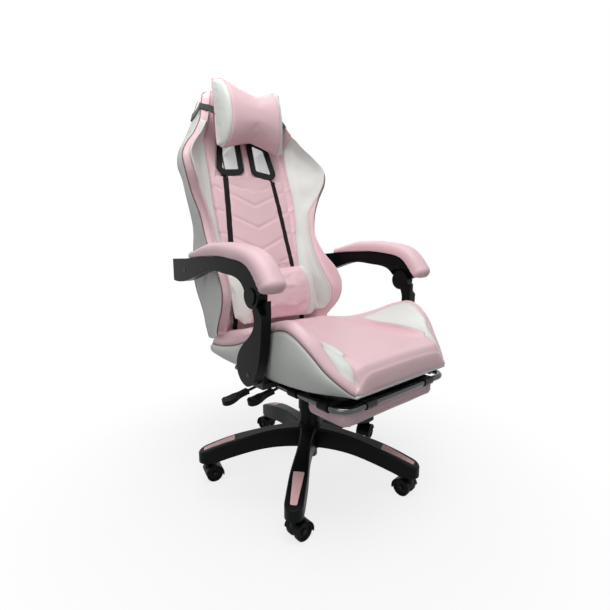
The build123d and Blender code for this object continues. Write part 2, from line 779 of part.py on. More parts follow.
def tube_path():
    return FilletPolyline(
        (-TUBE_X, TUBE_Y, NOTCH_HEIGHT - 16),
        (-TUBE_X, TUBE_Y, TUBE_SHOULDER),
        (-TUBE_TOP_X, TUBE_Y, TUBE_TOP),
        (TUBE_TOP_X, TUBE_Y, TUBE_TOP),
        (TUBE_X, TUBE_Y, TUBE_SHOULDER),
        (TUBE_X, TUBE_Y, NOTCH_HEIGHT - 16),
        radius=TUBE_BEND,
    )


TUBE_Y = -PANEL_T - TUBE_R - 2.0
RECLINER_X = FRAME_HX + RECLINER_T + SIDE_FIT


def swept_tube(radius):
    path = tube_path()
    return sweep(Plane(origin=path @ 0, z_dir=path % 0) * Circle(radius), path=path)


def back_frame(grow):
    """Bent tube with the upper recliner ears, the arm plates and the arm pivot studs welded on."""
    tube = swept_tube(TUBE_R + grow)
    if grow == 0:
        tube -= swept_tube(TUBE_R - TUBE_WALL)
    axis_y, axis_w = to_back(RECLINE_Y, RECLINE_Z)
    arm_y, arm_w = to_back(*REAR_PIVOT)
    ear_x0 = RECLINER_X
    ear_x1 = RECLINER_X + RECLINER_T
    ear = make_face(Polyline(
        (TUBE_Y - TUBE_R, NOTCH_HEIGHT + 70),
        (TUBE_Y + TUBE_R, NOTCH_HEIGHT + 70),
        (axis_y + RECLINER_EYE_R, axis_w),
        (axis_y - RECLINER_EYE_R, axis_w),
        close=True,
    ))
    ear += Pos(axis_y, axis_w) * Circle(RECLINER_EYE_R)
    if grow > 0:
        ear = offset(ear, grow)
    ears = side_plate(ear, ear_x0 - grow, ear_x1 + grow)
    ears += block(TUBE_X, ear_x1 + grow, TUBE_Y - TUBE_R - grow, TUBE_Y + TUBE_R + grow,
                  NOTCH_HEIGHT + 8 - grow, NOTCH_HEIGHT + 62 + grow)
    plate_x0 = ARM_PLATE_X
    plate_w0 = arm_w - ARM_PLATE_HW - grow
    plate_w1 = arm_w + ARM_PLATE_HW + grow
    plate_x1 = plate_x0 + ARM_PLATE_T + grow
    plate = block(plate_x0 - grow, plate_x1, arm_y - ARM_PLATE_HW - grow, TUBE_Y + grow, plate_w0, plate_w1)
    plate += block(TUBE_X, plate_x1, TUBE_Y - ARM_PLATE_T - grow, TUBE_Y + grow, plate_w0, plate_w1)
    stud = rod_x(PIVOT_R + grow, plate_x0, ARM_X0 + ARM_T + 1, arm_y, arm_w)
    collar = rod_x(ARM_COLLAR_R + grow, plate_x0, ARM_X0 - SIDE_FIT, arm_y, arm_w)
    one_side = ears + plate + stud + collar
    frame = tube + one_side + mirrored(one_side)
    if grow == 0:
        frame -= swept_tube(TUBE_R - TUBE_WALL)
        bore = rod_x(PIVOT_R + RUN_FIT, ear_x0 - 1, ear_x1 + 1, axis_y, axis_w)
        frame = frame - bore - mirrored(bore)
    return frame


def back_notches():
    """Room at the foot of the back for the recliner brackets to swing in."""
    x0 = FRAME_HX - NOTCH_SIDE
    x1 = RECLINER_X + RECLINER_T + NOTCH_SIDE
    notch = block(x0, x1, -NOTCH_DEPTH, BIG, -BIG, NOTCH_HEIGHT)
    return notch + mirrored(notch)


def back_pieces():
    """Rear panel, core, quilted centre pad and wings, cut from one lofted shell."""
    shell = loft([back_section(station) for station in BACK_STATIONS])
    shell -= back_notches()
    front = port_front()
    port = port_prism(PORT_WALL + PORT_FIT, -BIG, BIG)
    port += port_prism(PORT_RIM + PORT_FIT, -BIG, -front)
    shell = shell - port - mirrored(port)
    panel = shell & block(-BIG, BIG, -PANEL_T, BIG, -BIG, BIG)
    foam = shell - block(-BIG, BIG, -PANEL_T, BIG, -BIG, BIG)
    foam -= back_frame(SOFT_FIT)
    centre = foam & block(-BACK_SPLIT, BACK_SPLIT, -BIG, BIG, -BIG, BIG)
    quilt_room = block(-BIG, BIG, -BIG, -QUILT_DEPTH, QUILT_W0, QUILT_W1)
    core = centre - quilt_room
    quilt = centre & quilt_room
    left = foam & block(BACK_SPLIT, BIG, -BIG, BIG, -BIG, BIG)
    right = foam & block(-BIG, -BACK_SPLIT, -BIG, BIG, -BIG, BIG)
    return panel, core, quilt, left, right


def depth_at(height):
    """Depth of the back's centre at a height, between the stations."""
    for low, high in zip(BACK_STATIONS, BACK_STATIONS[1:]):
        if low[0] <= height <= high[0]:
            share = (height - low[0]) / (high[0] - low[0])
            return low[3] + share * (high[3] - low[3])
    return BACK_STATIONS[-1][3]


def chevron_channels():
    """Sewn V channels across the quilted centre pad."""
    cuts = []
    for index in range(CHEVRON_COUNT):
        base = CHEVRON_FIRST + CHEVRON_PITCH * index
        low = Vector(0, -depth_at(base) - BACK_CROWN + CHEVRON_SINK, base)
        for side in (-1, 1):
            top = base + CHEVRON_RISE
            high = Vector(side * BACK_SPLIT, -depth_at(top) + CHEVRON_SINK, top)
            reach = (high - low).length
            rod = Cylinder(CHEVRON_R, reach + 8, align=(Align.CENTER, Align.CENTER, Align.MIN))
            cuts.append(Plane(origin=low, z_dir=high - low) * rod)
    return cuts


# Pillows


def pillow_section(x, half_h, front_t, rear_t):
    """Lens-shaped end view of a pillow with blunt seams, at one place along its width."""
    seam = min(4.0, front_t / 2)
    face = make_face([
        ThreePointArc((-seam, -half_h), (-front_t, 0), (-seam, half_h)),
        Line((-seam, half_h), (seam, half_h)),
        ThreePointArc((seam, half_h), (rear_t, 0), (seam, -half_h)),
        Line((seam, -half_h), (-seam, -half_h)),
    ])
    return Plane.YZ.offset(x) * face


def pillow(half_x, half_h_mid, half_h_end, front_t, rear_t, end_t, bend):
    """Stuffed pillow: full in the middle, drawn in at the waist, its ends bent forward by the wings."""
    shares = (-1.0, -0.86, -0.55, 0.0, 0.55, 0.86, 1.0)
    sections = []
    for share in shares:
        swell = 1 - abs(share) ** 2.6
        flare = share * share
        half_h = half_h_mid + (half_h_end - half_h_mid) * flare
        front = end_t + (front_t - end_t) * swell
        rear = end_t + (rear_t - end_t) * swell
        sections.append(Pos(0, -bend * flare, 0) * pillow_section(share * half_x, half_h, front, rear))
    return loft(sections)


def head_pillow():
    body = pillow(HEAD_HX, HEAD_HZ_MID, HEAD_HZ_END, HEAD_HT, HEAD_REAR_T, HEAD_END_HT, 0)
    return Pos(0, -HEAD_OUT, HEAD_W) * Rot(HEAD_LEAN, 0, 0) * body


def lumbar_pillow():
    body = pillow(LUMBAR_HX, LUMBAR_HZ_MID, LUMBAR_HZ_END, LUMBAR_HT, LUMBAR_HT, LUMBAR_END_HT, LUMBAR_BEND)
    return Pos(0, -LUMBAR_OUT, LUMBAR_W) * body


def strap_section(station, grow):
    """The back's section as a taut band sees it, straight across the front from wing to wing."""
    height, wing, rear, depth, rise = station
    wing += grow
    rear += grow
    front = depth + rise + grow
    edge = min(BACK_EDGE, 0.6 * front)
    face = make_face([
        Line((-rear, grow), (rear, grow)),
        Line((rear, grow), (wing, -front + edge)),
        bulged((wing, -front + edge), (wing - edge, -front), -0.2 * edge),
        Line((wing - edge, -front), (-wing + edge, -front)),
        bulged((-wing + edge, -front), (-wing, -front + edge), -0.2 * edge),
        Line((-wing, -front + edge), (-rear, grow)),
    ])
    return Pos(0, 0, height) * face


def head_strap():
    """Elastic band from one side of the head pillow, round the back, to its other side."""
    outer = loft([strap_section(station, STRAP_NEAR + STRAP_T) for station in BACK_STATIONS])
    inner = loft([strap_section(station, STRAP_NEAR) for station in BACK_STATIONS])
    slab = block(-BIG, BIG, -BIG, BIG, STRAP_AT - STRAP_W / 2, STRAP_AT + STRAP_W / 2)
    front = block(-STRAP_END_X, STRAP_END_X, -BIG, -PANEL_T, -BIG, BIG)
    return (outer & slab) - (inner & slab) - front


# Recliner brackets and arm brackets on the seat


def recliner_bracket():
    """Lower recliner bracket, bolted to the frame's side and cranked up behind the cushion."""
    top = FRAME_Z0 + FRAME_H
    rear = FRAME_Y1
    arm = make_face(Polyline(
        (RECLINER_ARM_Y, FRAME_Z0),
        (rear + 30, FRAME_Z0),
        (RECLINE_Y + RECLINER_EYE_R, RECLINE_Z - 20),
        (RECLINE_Y + RECLINER_EYE_R, RECLINE_Z),
        (RECLINE_Y - RECLINER_EYE_R, RECLINE_Z),
        (rear + 26, top),
        (RECLINER_ARM_Y, top),
        close=True,
    ))
    arm += Pos(RECLINE_Y, RECLINE_Z) * Circle(RECLINER_EYE_R)
    plate = side_plate(arm, FRAME_HX, FRAME_HX + RECLINER_T)
    pin = rod_x(PIVOT_R, FRAME_HX, RECLINER_X + RECLINER_T + 4, RECLINE_Y, RECLINE_Z)
    head_x = RECLINER_X + RECLINER_T + SIDE_FIT
    pin += rod_x(PIVOT_R + 4, head_x, head_x + 4, RECLINE_Y, RECLINE_Z)
    return plate + pin


def arm_bracket():
    """Angle bracket from the frame's side to the foot of the arm link, with the link's stud."""
    plate_x1 = ARM_X0 - SIDE_FIT
    plate_x0 = plate_x1 - BRACKET_T
    y0 = LEG_PIVOT_Y - BRACKET_HW
    y1 = LEG_PIVOT_Y + BRACKET_HW
    foot = block(FRAME_HX, plate_x1, y0, y1, FRAME_Z0, FRAME_Z0 + BRACKET_ARM_H)
    hollow_z1 = FRAME_Z0 + BRACKET_ARM_H - BRACKET_T / 2
    foot -= block(FRAME_HX - 1, plate_x0, y0 + BRACKET_T, y1 - BRACKET_T, FRAME_Z0 - 1, hollow_z1)
    corners = ((y0, FRAME_Z0), (y1, FRAME_Z0), (y1, LEG_PIVOT_Z), (y0, LEG_PIVOT_Z))
    upright = make_face(Polyline(*corners, close=True))
    upright += Pos(LEG_PIVOT_Y, LEG_PIVOT_Z) * Circle(BRACKET_HW)
    plate = side_plate(upright, plate_x0, plate_x1)
    stud = rod_x(PIVOT_R, plate_x0, ARM_X0 + ARM_T + 1, LEG_PIVOT_Y, LEG_PIVOT_Z)
    return foot + plate + stud


# Armrests


def arm_point(dy, dz):
    """Point in the side view, measured from the arm's front pivot."""
    return ARM_PIVOT[0] + dy, ARM_PIVOT[1] + dz


def leg_outline():
    """Link between seat and arm: a slim neck that swells to a drop-shaped foot."""
    lower = LEG_PIVOT_Y - ARM_PIVOT[0]
    foot = LEG_PIVOT_Z - ARM_PIVOT[1]
    pts = [
        arm_point(-43, -8),
        arm_point(-42, -66),
        arm_point(lower - 55, foot + 82),
        arm_point(lower - 34, foot + 8),
        arm_point(lower + 4, foot - 31),
        arm_point(lower + 42, foot - 14),
        arm_point(lower + 51, foot + 24),
        arm_point(lower + 29, foot + 66),
        arm_point(-4, -82),
        arm_point(-4, -30),
    ]
    edge = Spline(pts)
    face = make_face([edge, Line(edge @ 1, edge @ 0)])
    return face + Pos(*ARM_PIVOT) * Circle(ARM_DISC_R)


def arm_leg():
    """The link is half-lapped at the top, where the arm's knuckle lies outside it."""
    middle = ARM_X0 + ARM_T / 2
    outline = leg_outline()
    inner = side_plate(outline, ARM_X0, middle - SIDE_FIT / 2)
    clear = Pos(*ARM_PIVOT) * Circle(ARM_DISC_R + SIDE_FIT)
    wedge = make_face(Polyline(
        ARM_PIVOT,
        arm_point(-200, -200),
        arm_point(-200, 200),
        arm_point(200, 200),
        arm_point(200, 0),
        close=True,
    ))
    outer = side_plate(outline - clear - wedge, middle - SIDE_FIT / 2, ARM_X0 + ARM_T)
    link = inner + outer
    foot_bore = rod_x(PIVOT_R + RUN_FIT, ARM_X0 - 1, ARM_X0 + ARM_T + 1, LEG_PIVOT_Y, LEG_PIVOT_Z)
    head_bore = rod_x(PIVOT_R, ARM_X0 - 1, ARM_X0 + ARM_T + 1, *ARM_PIVOT)
    return link - foot_bore - head_bore


def arm_pin():
    """Pivot pin with the broad round cap that shows on the outside of the arm."""
    pin = rod_x(PIVOT_R, ARM_X0, ARM_X0 + ARM_T + SIDE_FIT, *ARM_PIVOT)
    cap_x = ARM_X0 + ARM_T + SIDE_FIT
    cap = rod_x(ARM_CAP_R, cap_x, cap_x + ARM_CAP_T, *ARM_PIVOT)
    cap = chamfer(cap.edges().group_by(Axis.X)[-1], 1.2)
    return pin + cap


def arm_crest(lift, nose):
    """Upper line of the arm, which the pad follows, from the rear to the drooping front."""
    rear = REAR_PIVOT[0] - ARM_PIVOT[0]
    pts = [
        arm_point(rear - 4, 75 + lift),
        arm_point(rear * 0.56, 91 + lift),
        arm_point(rear * 0.22, 92 + lift),
        arm_point(-20 - nose * 0.4, 71 + lift * 0.8),
        arm_point(-66 - nose, 20 + lift * 0.4),
    ]
    return Spline(pts, tangents=((-1, 0.1), (-0.45, -1)))


def arm_beam():
    """Arched arm with a square rear end, a knuckle at the front and a half-lap over the link."""
    crest = arm_crest(0, 0)
    rear_y = ARM_REAR_Y
    low = REAR_PIVOT[1] - 34
    rear = REAR_PIVOT[0] - ARM_PIVOT[0]
    arch = Spline([
        (rear_y, low),
        arm_point(rear * 0.84, 24),
        arm_point(rear * 0.55, 50),
        arm_point(rear * 0.33, 46),
        arm_point(44, 30),
        arm_point(24, 2),
    ])
    face = make_face([
        crest,
        Line(crest @ 1, arm_point(-30, 4)),
        Line(arm_point(-30, 4), arm_point(24, 2)),
        arch,
        Line((rear_y, low), (rear_y, REAR_PIVOT[1] + 32)),
        Line((rear_y, REAR_PIVOT[1] + 32), crest @ 0),
    ])
    face += Pos(*ARM_PIVOT) * Circle(ARM_DISC_R)
    middle = ARM_X0 + ARM_T / 2
    beam = side_plate(face, ARM_X0, ARM_X0 + ARM_T)
    lap_r = ARM_DISC_R + SIDE_FIT
    lap = make_face(Polyline(
        arm_point(-ARM_LAP_FRONT, -150),
        arm_point(lap_r, -150),
        arm_point(lap_r, lap_r),
        arm_point(0, lap_r + 8),
        arm_point(-ARM_LAP_FRONT, lap_r + 8),
        close=True,
    ))
    beam -= side_plate(lap, ARM_X0 - 1, middle + SIDE_FIT / 2)
    beam -= rod_x(PIVOT_R + RUN_FIT, ARM_X0 - 1, ARM_X0 + ARM_T + 1, *ARM_PIVOT)
    beam -= rod_x(PIVOT_R + PIVOT_FIT, ARM_X0 - 1, ARM_X0 + ARM_T + 1, *REAR_PIVOT)
    return beam


def arm_pad():
    """Padded top that follows the arm's crest and wraps over its front."""
    under = arm_crest(SOFT_FIT, 0)
    over = arm_crest(ARM_PAD_T, ARM_PAD_NOSE)
    nose = bulged(under @ 1, over @ 1, -6)
    face = make_face([under, nose, over, bulged(over @ 0, under @ 0, 5)])
    rear = REAR_PIVOT[0] - 4 - ARM_PAD_SHORT
    face &= Pos(rear - BIG / 2, REAR_PIVOT[1]) * Rectangle(BIG, BIG)
    middle = ARM_X0 + ARM_T / 2
    pad = side_plate(face, middle - ARM_PAD_W / 2, middle + ARM_PAD_W / 2)
    top = pad.faces().filter_by(lambda skin: abs(skin.normal_at().X) < 0.5).sort_by(Axis.Z)[-1]
    rims = [edge for edge in top.edges() if edge.length > ARM_PAD_W + 2]
    rims.append(top.edges().sort_by(Axis.Y)[-1])
    return fillet(rims, ARM_PAD_ROUND)


# Footrest


def rail_path(x, front):
    return FilletPolyline(
        (-x, RAIL_REAR_Y, RAIL_Z),
        (-x, front, RAIL_Z),
        (x, front, RAIL_Z),
        (x, RAIL_REAR_Y, RAIL_Z),
        radius=RAIL_BEND,
    )


def footrest_tube():
    """One bent chrome tube: two rails and the front bar the pad hangs from."""
    path = rail_path(RAIL_X, RAIL_FRONT_Y)
    start = Plane(origin=path @ 0, z_dir=path % 0)
    outside = sweep(start * Circle(RAIL_R), path=path)
    inside = sweep(start * Circle(RAIL_R - RAIL_WALL), path=path)
    return outside - inside


def footrest_guides():
    """Four clips under the frame that the rails run in."""
    clips = []
    for side in (-1, 1):
        for y in GUIDE_Y:
            eye_r = RAIL_R + RUN_FIT + GUIDE_WALL
            eye = Pos(RAIL_X, RAIL_Z) * Circle(eye_r)
            eye += Pos((FRAME_HX - FRAME_BAR + RAIL_X) / 2, (RAIL_Z + FRAME_Z0) / 2) * Rectangle(
                RAIL_X - FRAME_HX + FRAME_BAR, FRAME_Z0 - RAIL_Z)
            eye -= Pos(RAIL_X, RAIL_Z) * Circle(RAIL_R + RUN_FIT)
            face = eye & Pos(RAIL_X, FRAME_Z0 - BIG / 2) * Rectangle(BIG, BIG)
            clip = extrude(Plane.XZ.offset(-y - GUIDE_LEN / 2) * face, GUIDE_LEN)
            clips.append(clip if side > 0 else mirrored(clip))
    return group(clips)


def rest_board():
    """Board the pad is glued on, with rounded corners."""
    depth = REST_Y1 - REST_Y0
    face = RectangleRounded(2 * REST_HX - 8, depth - 8, 14)
    middle = (REST_Y0 + REST_Y1) / 2
    return extrude(Pos(0, middle, REST_TOP - REST_BOARD_T) * face, REST_BOARD_T)


def rest_section(x, inset, crown):
    """End view of the footrest pad: flat against its board, crowned on the sitter's side."""
    top = REST_TOP - REST_BOARD_T
    low = top - REST_PAD_T + inset
    y0 = REST_Y0 + inset
    y1 = REST_Y1 - inset
    shoulder = low + REST_EDGE
    face = make_face([
        Line((y0, top), (y0, shoulder)),
        bulged((y0, shoulder), (y0 + REST_EDGE, low), 0.2 * REST_EDGE),
        bulged((y0 + REST_EDGE, low), (y1 - REST_EDGE, low), crown),
        bulged((y1 - REST_EDGE, low), (y1, shoulder), 0.2 * REST_EDGE),
        Line((y1, shoulder), (y1, top)),
        Line((y1, top), (y0, top)),
    ])
    return Plane.YZ.offset(x) * face


def rest_pad():
    """Pad with rounded, drawn-in ends and a crown along its middle."""
    half = [
        (REST_HX, 12.0, 1.0),
        (REST_HX - 2, 6.0, 1.5),
        (REST_HX - 7, 2.0, 2.0),
        (REST_HX - 16, 0.0, 2.5),
        (REST_HX * 0.5, 0.0, REST_CROWN),
    ]
    sections = [rest_section(-x, inset, crown) for x, inset, crown in half]
    sections += [rest_section(x, inset, crown) for x, inset, crown in reversed(half)]
    return loft(sections, ruled=True)


def rest_clips():
    """Two straps that hang the board on the front bar."""
    clips = []
    for side in (-1, 1):
        eye = Pos(RAIL_FRONT_Y, RAIL_Z) * Circle(RAIL_R + RUN_FIT + CLIP_T)
        tongue_z = REST_TOP
        eye += Pos(RAIL_FRONT_Y + (RAIL_R + CLIP_REACH) / 2, tongue_z + CLIP_T / 2) * Rectangle(
            RAIL_R + CLIP_REACH, CLIP_T)
        eye -= Pos(RAIL_FRONT_Y, RAIL_Z) * Circle(RAIL_R + RUN_FIT)
        x = side * CLIP_X
        clips.append(side_plate(eye, x - CLIP_W / 2, x + CLIP_W / 2))
    return group(clips)


# Levers


def lever_place(lever_y):
    return Pos(-LEVER_PIVOT_X, lever_y, LEVER_EYE_Z) * Rot(0, -LEVER_DROOP, 0)


def lever_rod(lever_y, reach):
    """Steel rod with an eye and a cross pin that turns in the chassis."""
    rod = rod_x(LEVER_R, LEVER_PIVOT_X - reach, 0, 0, 0)
    eye = Rot(90, 0, 0) * Cylinder(LEVER_R + 3, 2 * LEVER_R)
    pin = Rot(90, 0, 0) * Cylinder(LEVER_PIN_R, 2 * (LEVER_R + LEVER_SLOT + LEVER_EAR))
    return lever_place(lever_y) * (rod + eye + pin)


def lever_grip(lever_y, reach):
    """Paddle grip: waisted, thicker at its end and hollowed a little for the fingers."""
    end = LEVER_PIVOT_X - reach
    x0 = end + GRIP_OVERLAP
    x1 = x0 - GRIP_LEN
    upper = Spline(
        [(x0, GRIP_NECK_W / 2), (x0 - GRIP_LEN * 0.35, GRIP_NECK_W / 2), (x1 + GRIP_W / 2, GRIP_W / 2)],
        tangents=((-1, 0), (-1, 0)),
    )
    lower = Spline(
        [(x0, -GRIP_NECK_W / 2), (x0 - GRIP_LEN * 0.35, -GRIP_NECK_W / 2), (x1 + GRIP_W / 2, -GRIP_W / 2)],
        tangents=((-1, 0), (-1, 0)),
    )
    nose = ThreePointArc(upper @ 1, (x1, 0), lower @ 1)
    face = make_face([upper, nose, lower, Line(lower @ 0, upper @ 0)])
    grip = extrude(Pos(0, 0, -GRIP_T / 2) * face, GRIP_T)
    dish = Pos(x1 + GRIP_W * 0.75, 0, GRIP_T / 2 + 40 - 2) * Rot(90, 0, 0) * Cylinder(40, GRIP_W * 2)
    grip -= dish
    grip -= rod_x(LEVER_R, end, x0 + 1, 0, 0)
    return lever_place(lever_y) * grip


# Writing each piece

os.makedirs("parts", exist_ok=True)


def save(name, shape):
    export_step(shape, os.path.join("parts", name + ".step"))


save("base_star", base_star())
save("leg_inlays", leg_inlays())
save("column_tube", column_tube())
save("column_sleeve", column_sleeve())
save("thrust_bearing", thrust_bearing())
save("piston_rod", piston_rod())
save("gas_cylinder", gas_cylinder())
low_r = COVER_LOW_R
mid_r = COVER_LOW_R + COVER_STEP
up_r = mid_r + COVER_STEP
save("cover_lower", cover_tube(low_r, HUB_TOP, COVER_LOW_TOP, COVER_LOW_TOP - 3))
save("cover_middle", cover_tube(mid_r, COVER_MID_Z0, COVER_MID_Z1, COVER_MID_Z1 - 3))
save("cover_upper", cover_tube(up_r, COVER_UP_Z0, HOUSING_Z0, COVER_UP_Z0))

hood = castor_hood()
stem, axle = castor_pins()
wheels = castor_wheels()
for castor in range(LEG_COUNT):
    place = castor_place(castor)
    save(f"castor_{castor + 1}_hood", place * hood)
    save(f"castor_{castor + 1}_pins", group([place * stem, place * axle]))
    save(f"castor_{castor + 1}_wheels", group([place * wheel for wheel in wheels]))

save("seat_chassis", group([chassis_housing(), chassis_plate()]))
save("seat_frame", seat_frame())
save("seat_webbing", seat_webbing())
seat_centre, seat_left, seat_right = seat_pieces()
save("seat_cushion", seat_centre)
save("seat_bolster_left", seat_left)
save("seat_bolster_right", seat_right)
save("recliner_brackets", group([recliner_bracket(), mirrored(recliner_bracket())]))
save("arm_brackets", group([arm_bracket(), mirrored(arm_bracket())]))
save("footrest_guides", footrest_guides())

lean = BACK_FRAME.location
rear_panel, back_core, quilt, wing_left, wing_right = back_pieces()
for channel in chevron_channels():
    quilt -= channel
save("back_rear_panel", lean * rear_panel)
save("back_core", lean * back_core)
save("back_quilt", lean * quilt)
save("back_wing_left", lean * wing_left)
save("back_wing_right", lean * wing_right)
save("back_frame", lean * back_frame(0.0))
bezel = strap_bezel()
save("strap_bezels", group([lean * bezel, lean * mirrored(bezel)]))
save("head_pillow", lean * head_pillow())
save("head_strap", lean * head_strap())
save("lumbar_pillow", lean * lumbar_pillow())

leg, beam, pad, pin = arm_leg(), arm_beam(), arm_pad(), arm_pin()
for name, piece in (("arm_leg", leg), ("arm_beam", beam), ("arm_pad", pad), ("arm_pin", pin)):
    save(name + "_left", piece)
    save(name + "_right", mirrored(piece))

save("footrest_tube", footrest_tube())
save("footrest_board", rest_board())
save("footrest_pad", rest_pad())
save("footrest_clips", rest_clips())

save("height_lever_rod", lever_rod(HEIGHT_LEVER_Y, HEIGHT_LEVER_REACH))
save("height_lever_grip", lever_grip(HEIGHT_LEVER_Y, HEIGHT_LEVER_REACH))
save("recline_lever_rod", lever_rod(RECLINE_LEVER_Y, RECLINE_LEVER_REACH))
save("recline_lever_grip", lever_grip(RECLINE_LEVER_Y, RECLINE_LEVER_REACH))
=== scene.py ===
import math
from collections import namedtuple
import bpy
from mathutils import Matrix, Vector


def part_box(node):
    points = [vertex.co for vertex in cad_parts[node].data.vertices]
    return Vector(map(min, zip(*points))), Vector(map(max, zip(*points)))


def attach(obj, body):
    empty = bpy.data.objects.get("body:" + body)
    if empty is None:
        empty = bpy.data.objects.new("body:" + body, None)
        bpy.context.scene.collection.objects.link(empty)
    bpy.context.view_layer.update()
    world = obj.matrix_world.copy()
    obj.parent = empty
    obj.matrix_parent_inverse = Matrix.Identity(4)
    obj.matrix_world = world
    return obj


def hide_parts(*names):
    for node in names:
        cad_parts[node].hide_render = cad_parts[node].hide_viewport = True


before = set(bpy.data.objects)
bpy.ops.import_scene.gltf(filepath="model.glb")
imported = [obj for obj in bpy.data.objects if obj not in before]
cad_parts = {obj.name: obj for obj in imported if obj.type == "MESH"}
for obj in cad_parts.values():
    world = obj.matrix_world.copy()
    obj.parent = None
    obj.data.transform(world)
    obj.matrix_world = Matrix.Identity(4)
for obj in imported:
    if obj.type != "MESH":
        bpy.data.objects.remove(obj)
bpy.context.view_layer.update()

from fnmatch import fnmatch

import bmesh
import bpy
import numpy as np
from bpy.props import FloatProperty, FloatVectorProperty, IntProperty, PointerProperty
from mathutils import Matrix, Vector

bl_info = {
    "name": "Reclining desk chair",
    "version": (1, 0, 0),
    "blender": (4, 5, 0),
    "location": "View3D > Sidebar > Chair",
    "description": "Upholstery, finishes and stage for a winged reclining desk chair on castors",
    "category": "Object",
}

# Points on each part of half a section, and the numbers of the points where the parts end
Marks = namedtuple("Marks", "corner piping edge valley middle")
BACK_COUNTS = (20, 18, 8, 36, 34)
SEAT_COUNTS = (20, 22, 8, 28, 36)
BACK = Marks(*np.cumsum(BACK_COUNTS).tolist())
SEAT = Marks(*np.cumsum(SEAT_COUNTS).tolist())

# Back: height, wing half-width, rear half-width, depth at the centre, rise of the wing
BACK_STATIONS = (
    (0.000, 0.234, 0.211, 0.060, 0.066),
    (0.032, 0.245, 0.214, 0.068, 0.105),
    (0.062, 0.248, 0.215, 0.073, 0.130),
    (0.100, 0.247, 0.218, 0.077, 0.143),
    (0.155, 0.243, 0.226, 0.080, 0.131),
    (0.225, 0.234, 0.227, 0.084, 0.087),
    (0.295, 0.230, 0.211, 0.086, 0.062),
    (0.365, 0.238, 0.200, 0.088, 0.064),
    (0.430, 0.261, 0.203, 0.090, 0.077),
    (0.485, 0.282, 0.207, 0.090, 0.104),
    (0.530, 0.285, 0.211, 0.089, 0.110),
    (0.572, 0.260, 0.218, 0.087, 0.101),
    (0.620, 0.220, 0.208, 0.085, 0.088),
    (0.672, 0.187, 0.177, 0.082, 0.078),
    (0.735, 0.162, 0.142, 0.076, 0.066),
    (0.795, 0.128, 0.116, 0.066, 0.036),
    (0.830, 0.102, 0.095, 0.050, 0.014),
    (0.846, 0.080, 0.076, 0.030, 0.004),
)
BACK_LOW = -0.008
BACK_VALLEY = 0.150
BACK_EDGE = 0.021
BACK_CROWN = 0.005
WING_BULGE = 0.006

# Strap openings: corners of one, room round it in the cover, and depths where the duct's pale walls start and end
# (painted light: pale as the bright view through the opening)
PORT_CORNERS = ((0.035, 0.546), (0.102, 0.538), (0.084, 0.628), (0.035, 0.642))
PORT_ROOM = 0.0045
THROUGH_LIGHT_FRONT = (-0.0845, -0.0835)
THROUGH_LIGHT_REAR = (-0.0010, -0.0020)

# White lens on each wing: height with its inner and with its outer edge
LENS_INNER = ((0.00, 0.150), (0.215, 0.155), (0.290, 0.159), (0.364, 0.167), (0.440, 0.170), (0.516, 0.166),
              (0.587, 0.166), (0.628, 0.167), (0.660, 0.172), (0.700, 0.190))
LENS_OUTER = ((0.00, 0.196), (0.045, 0.212), (0.080, 0.212), (0.155, 0.202), (0.238, 0.198), (0.320, 0.201),
              (0.360, 0.204), (0.393, 0.211), (0.420, 0.228), (0.458, 0.251), (0.500, 0.266), (0.530, 0.268),
              (0.573, 0.243), (0.613, 0.210), (0.660, 0.187), (0.720, 0.170))
LENS_FOOT = 0.024

# Black strips: distance from the middle at a height, splay for each unit down, and top
STRIP_AT, STRIP_LEVEL, STRIP_SPLAY, STRIP_TOP = 0.098, 0.500, 0.092, 0.545

# Sewn Vs: first and last count, and the distance given to points with no seam near
CHEVRON_SPAN = (-0.5, 3.6)
NO_SEAM = 0.05

# Seat: distance to the rear, foot half-width, flank half-width, height of the bolster and of the centre
SEAT_STATIONS = (
    (0.186, 0.232, 0.242, 0.454, 0.464),
    (0.120, 0.243, 0.251, 0.462, 0.478),
    (0.030, 0.247, 0.254, 0.482, 0.478),
    (-0.070, 0.249, 0.257, 0.519, 0.477),
    (-0.150, 0.246, 0.259, 0.552, 0.477),
    (-0.215, 0.238, 0.256, 0.560, 0.478),
    (-0.268, 0.224, 0.244, 0.525, 0.480),
    (-0.308, 0.203, 0.224, 0.479, 0.481),
    (-0.336, 0.187, 0.205, 0.452, 0.477),
    (-0.353, 0.178, 0.190, 0.434, 0.467),
    (-0.361, 0.173, 0.181, 0.420, 0.450),
)
SEAT_FLOOR = 0.400
SEAT_CORNER = 0.022
SEAT_VALLEY = 0.140
SEAT_SINK = 0.003
SEAT_SEAM = 0.158

# Arm: line of its top and its front pivot, as (distance to the rear, height), and its middle across
ARM_CREST = ((0.349, 0.075), (0.1977, 0.091), (0.0777, 0.092), (-0.020, 0.071), (-0.066, 0.020))
ARM_PIVOT = (-0.131, 0.618)
ARM_MIDDLE = 0.288

# Insert on each bolster: distance to the rear, inner edge and outer edge
INSERT_EDGES = ((-0.060, 0.172, 0.160), (-0.067, 0.170, 0.173), (-0.103, 0.164, 0.197), (-0.140, 0.160, 0.214),
                (-0.181, 0.159, 0.224), (-0.223, 0.159, 0.223), (-0.255, 0.160, 0.214), (-0.291, 0.163, 0.205),
                (-0.314, 0.166, 0.200), (-0.336, 0.170, 0.195), (-0.356, 0.176, 0.185))
INSERT_ENDS = (-0.352, -0.062)

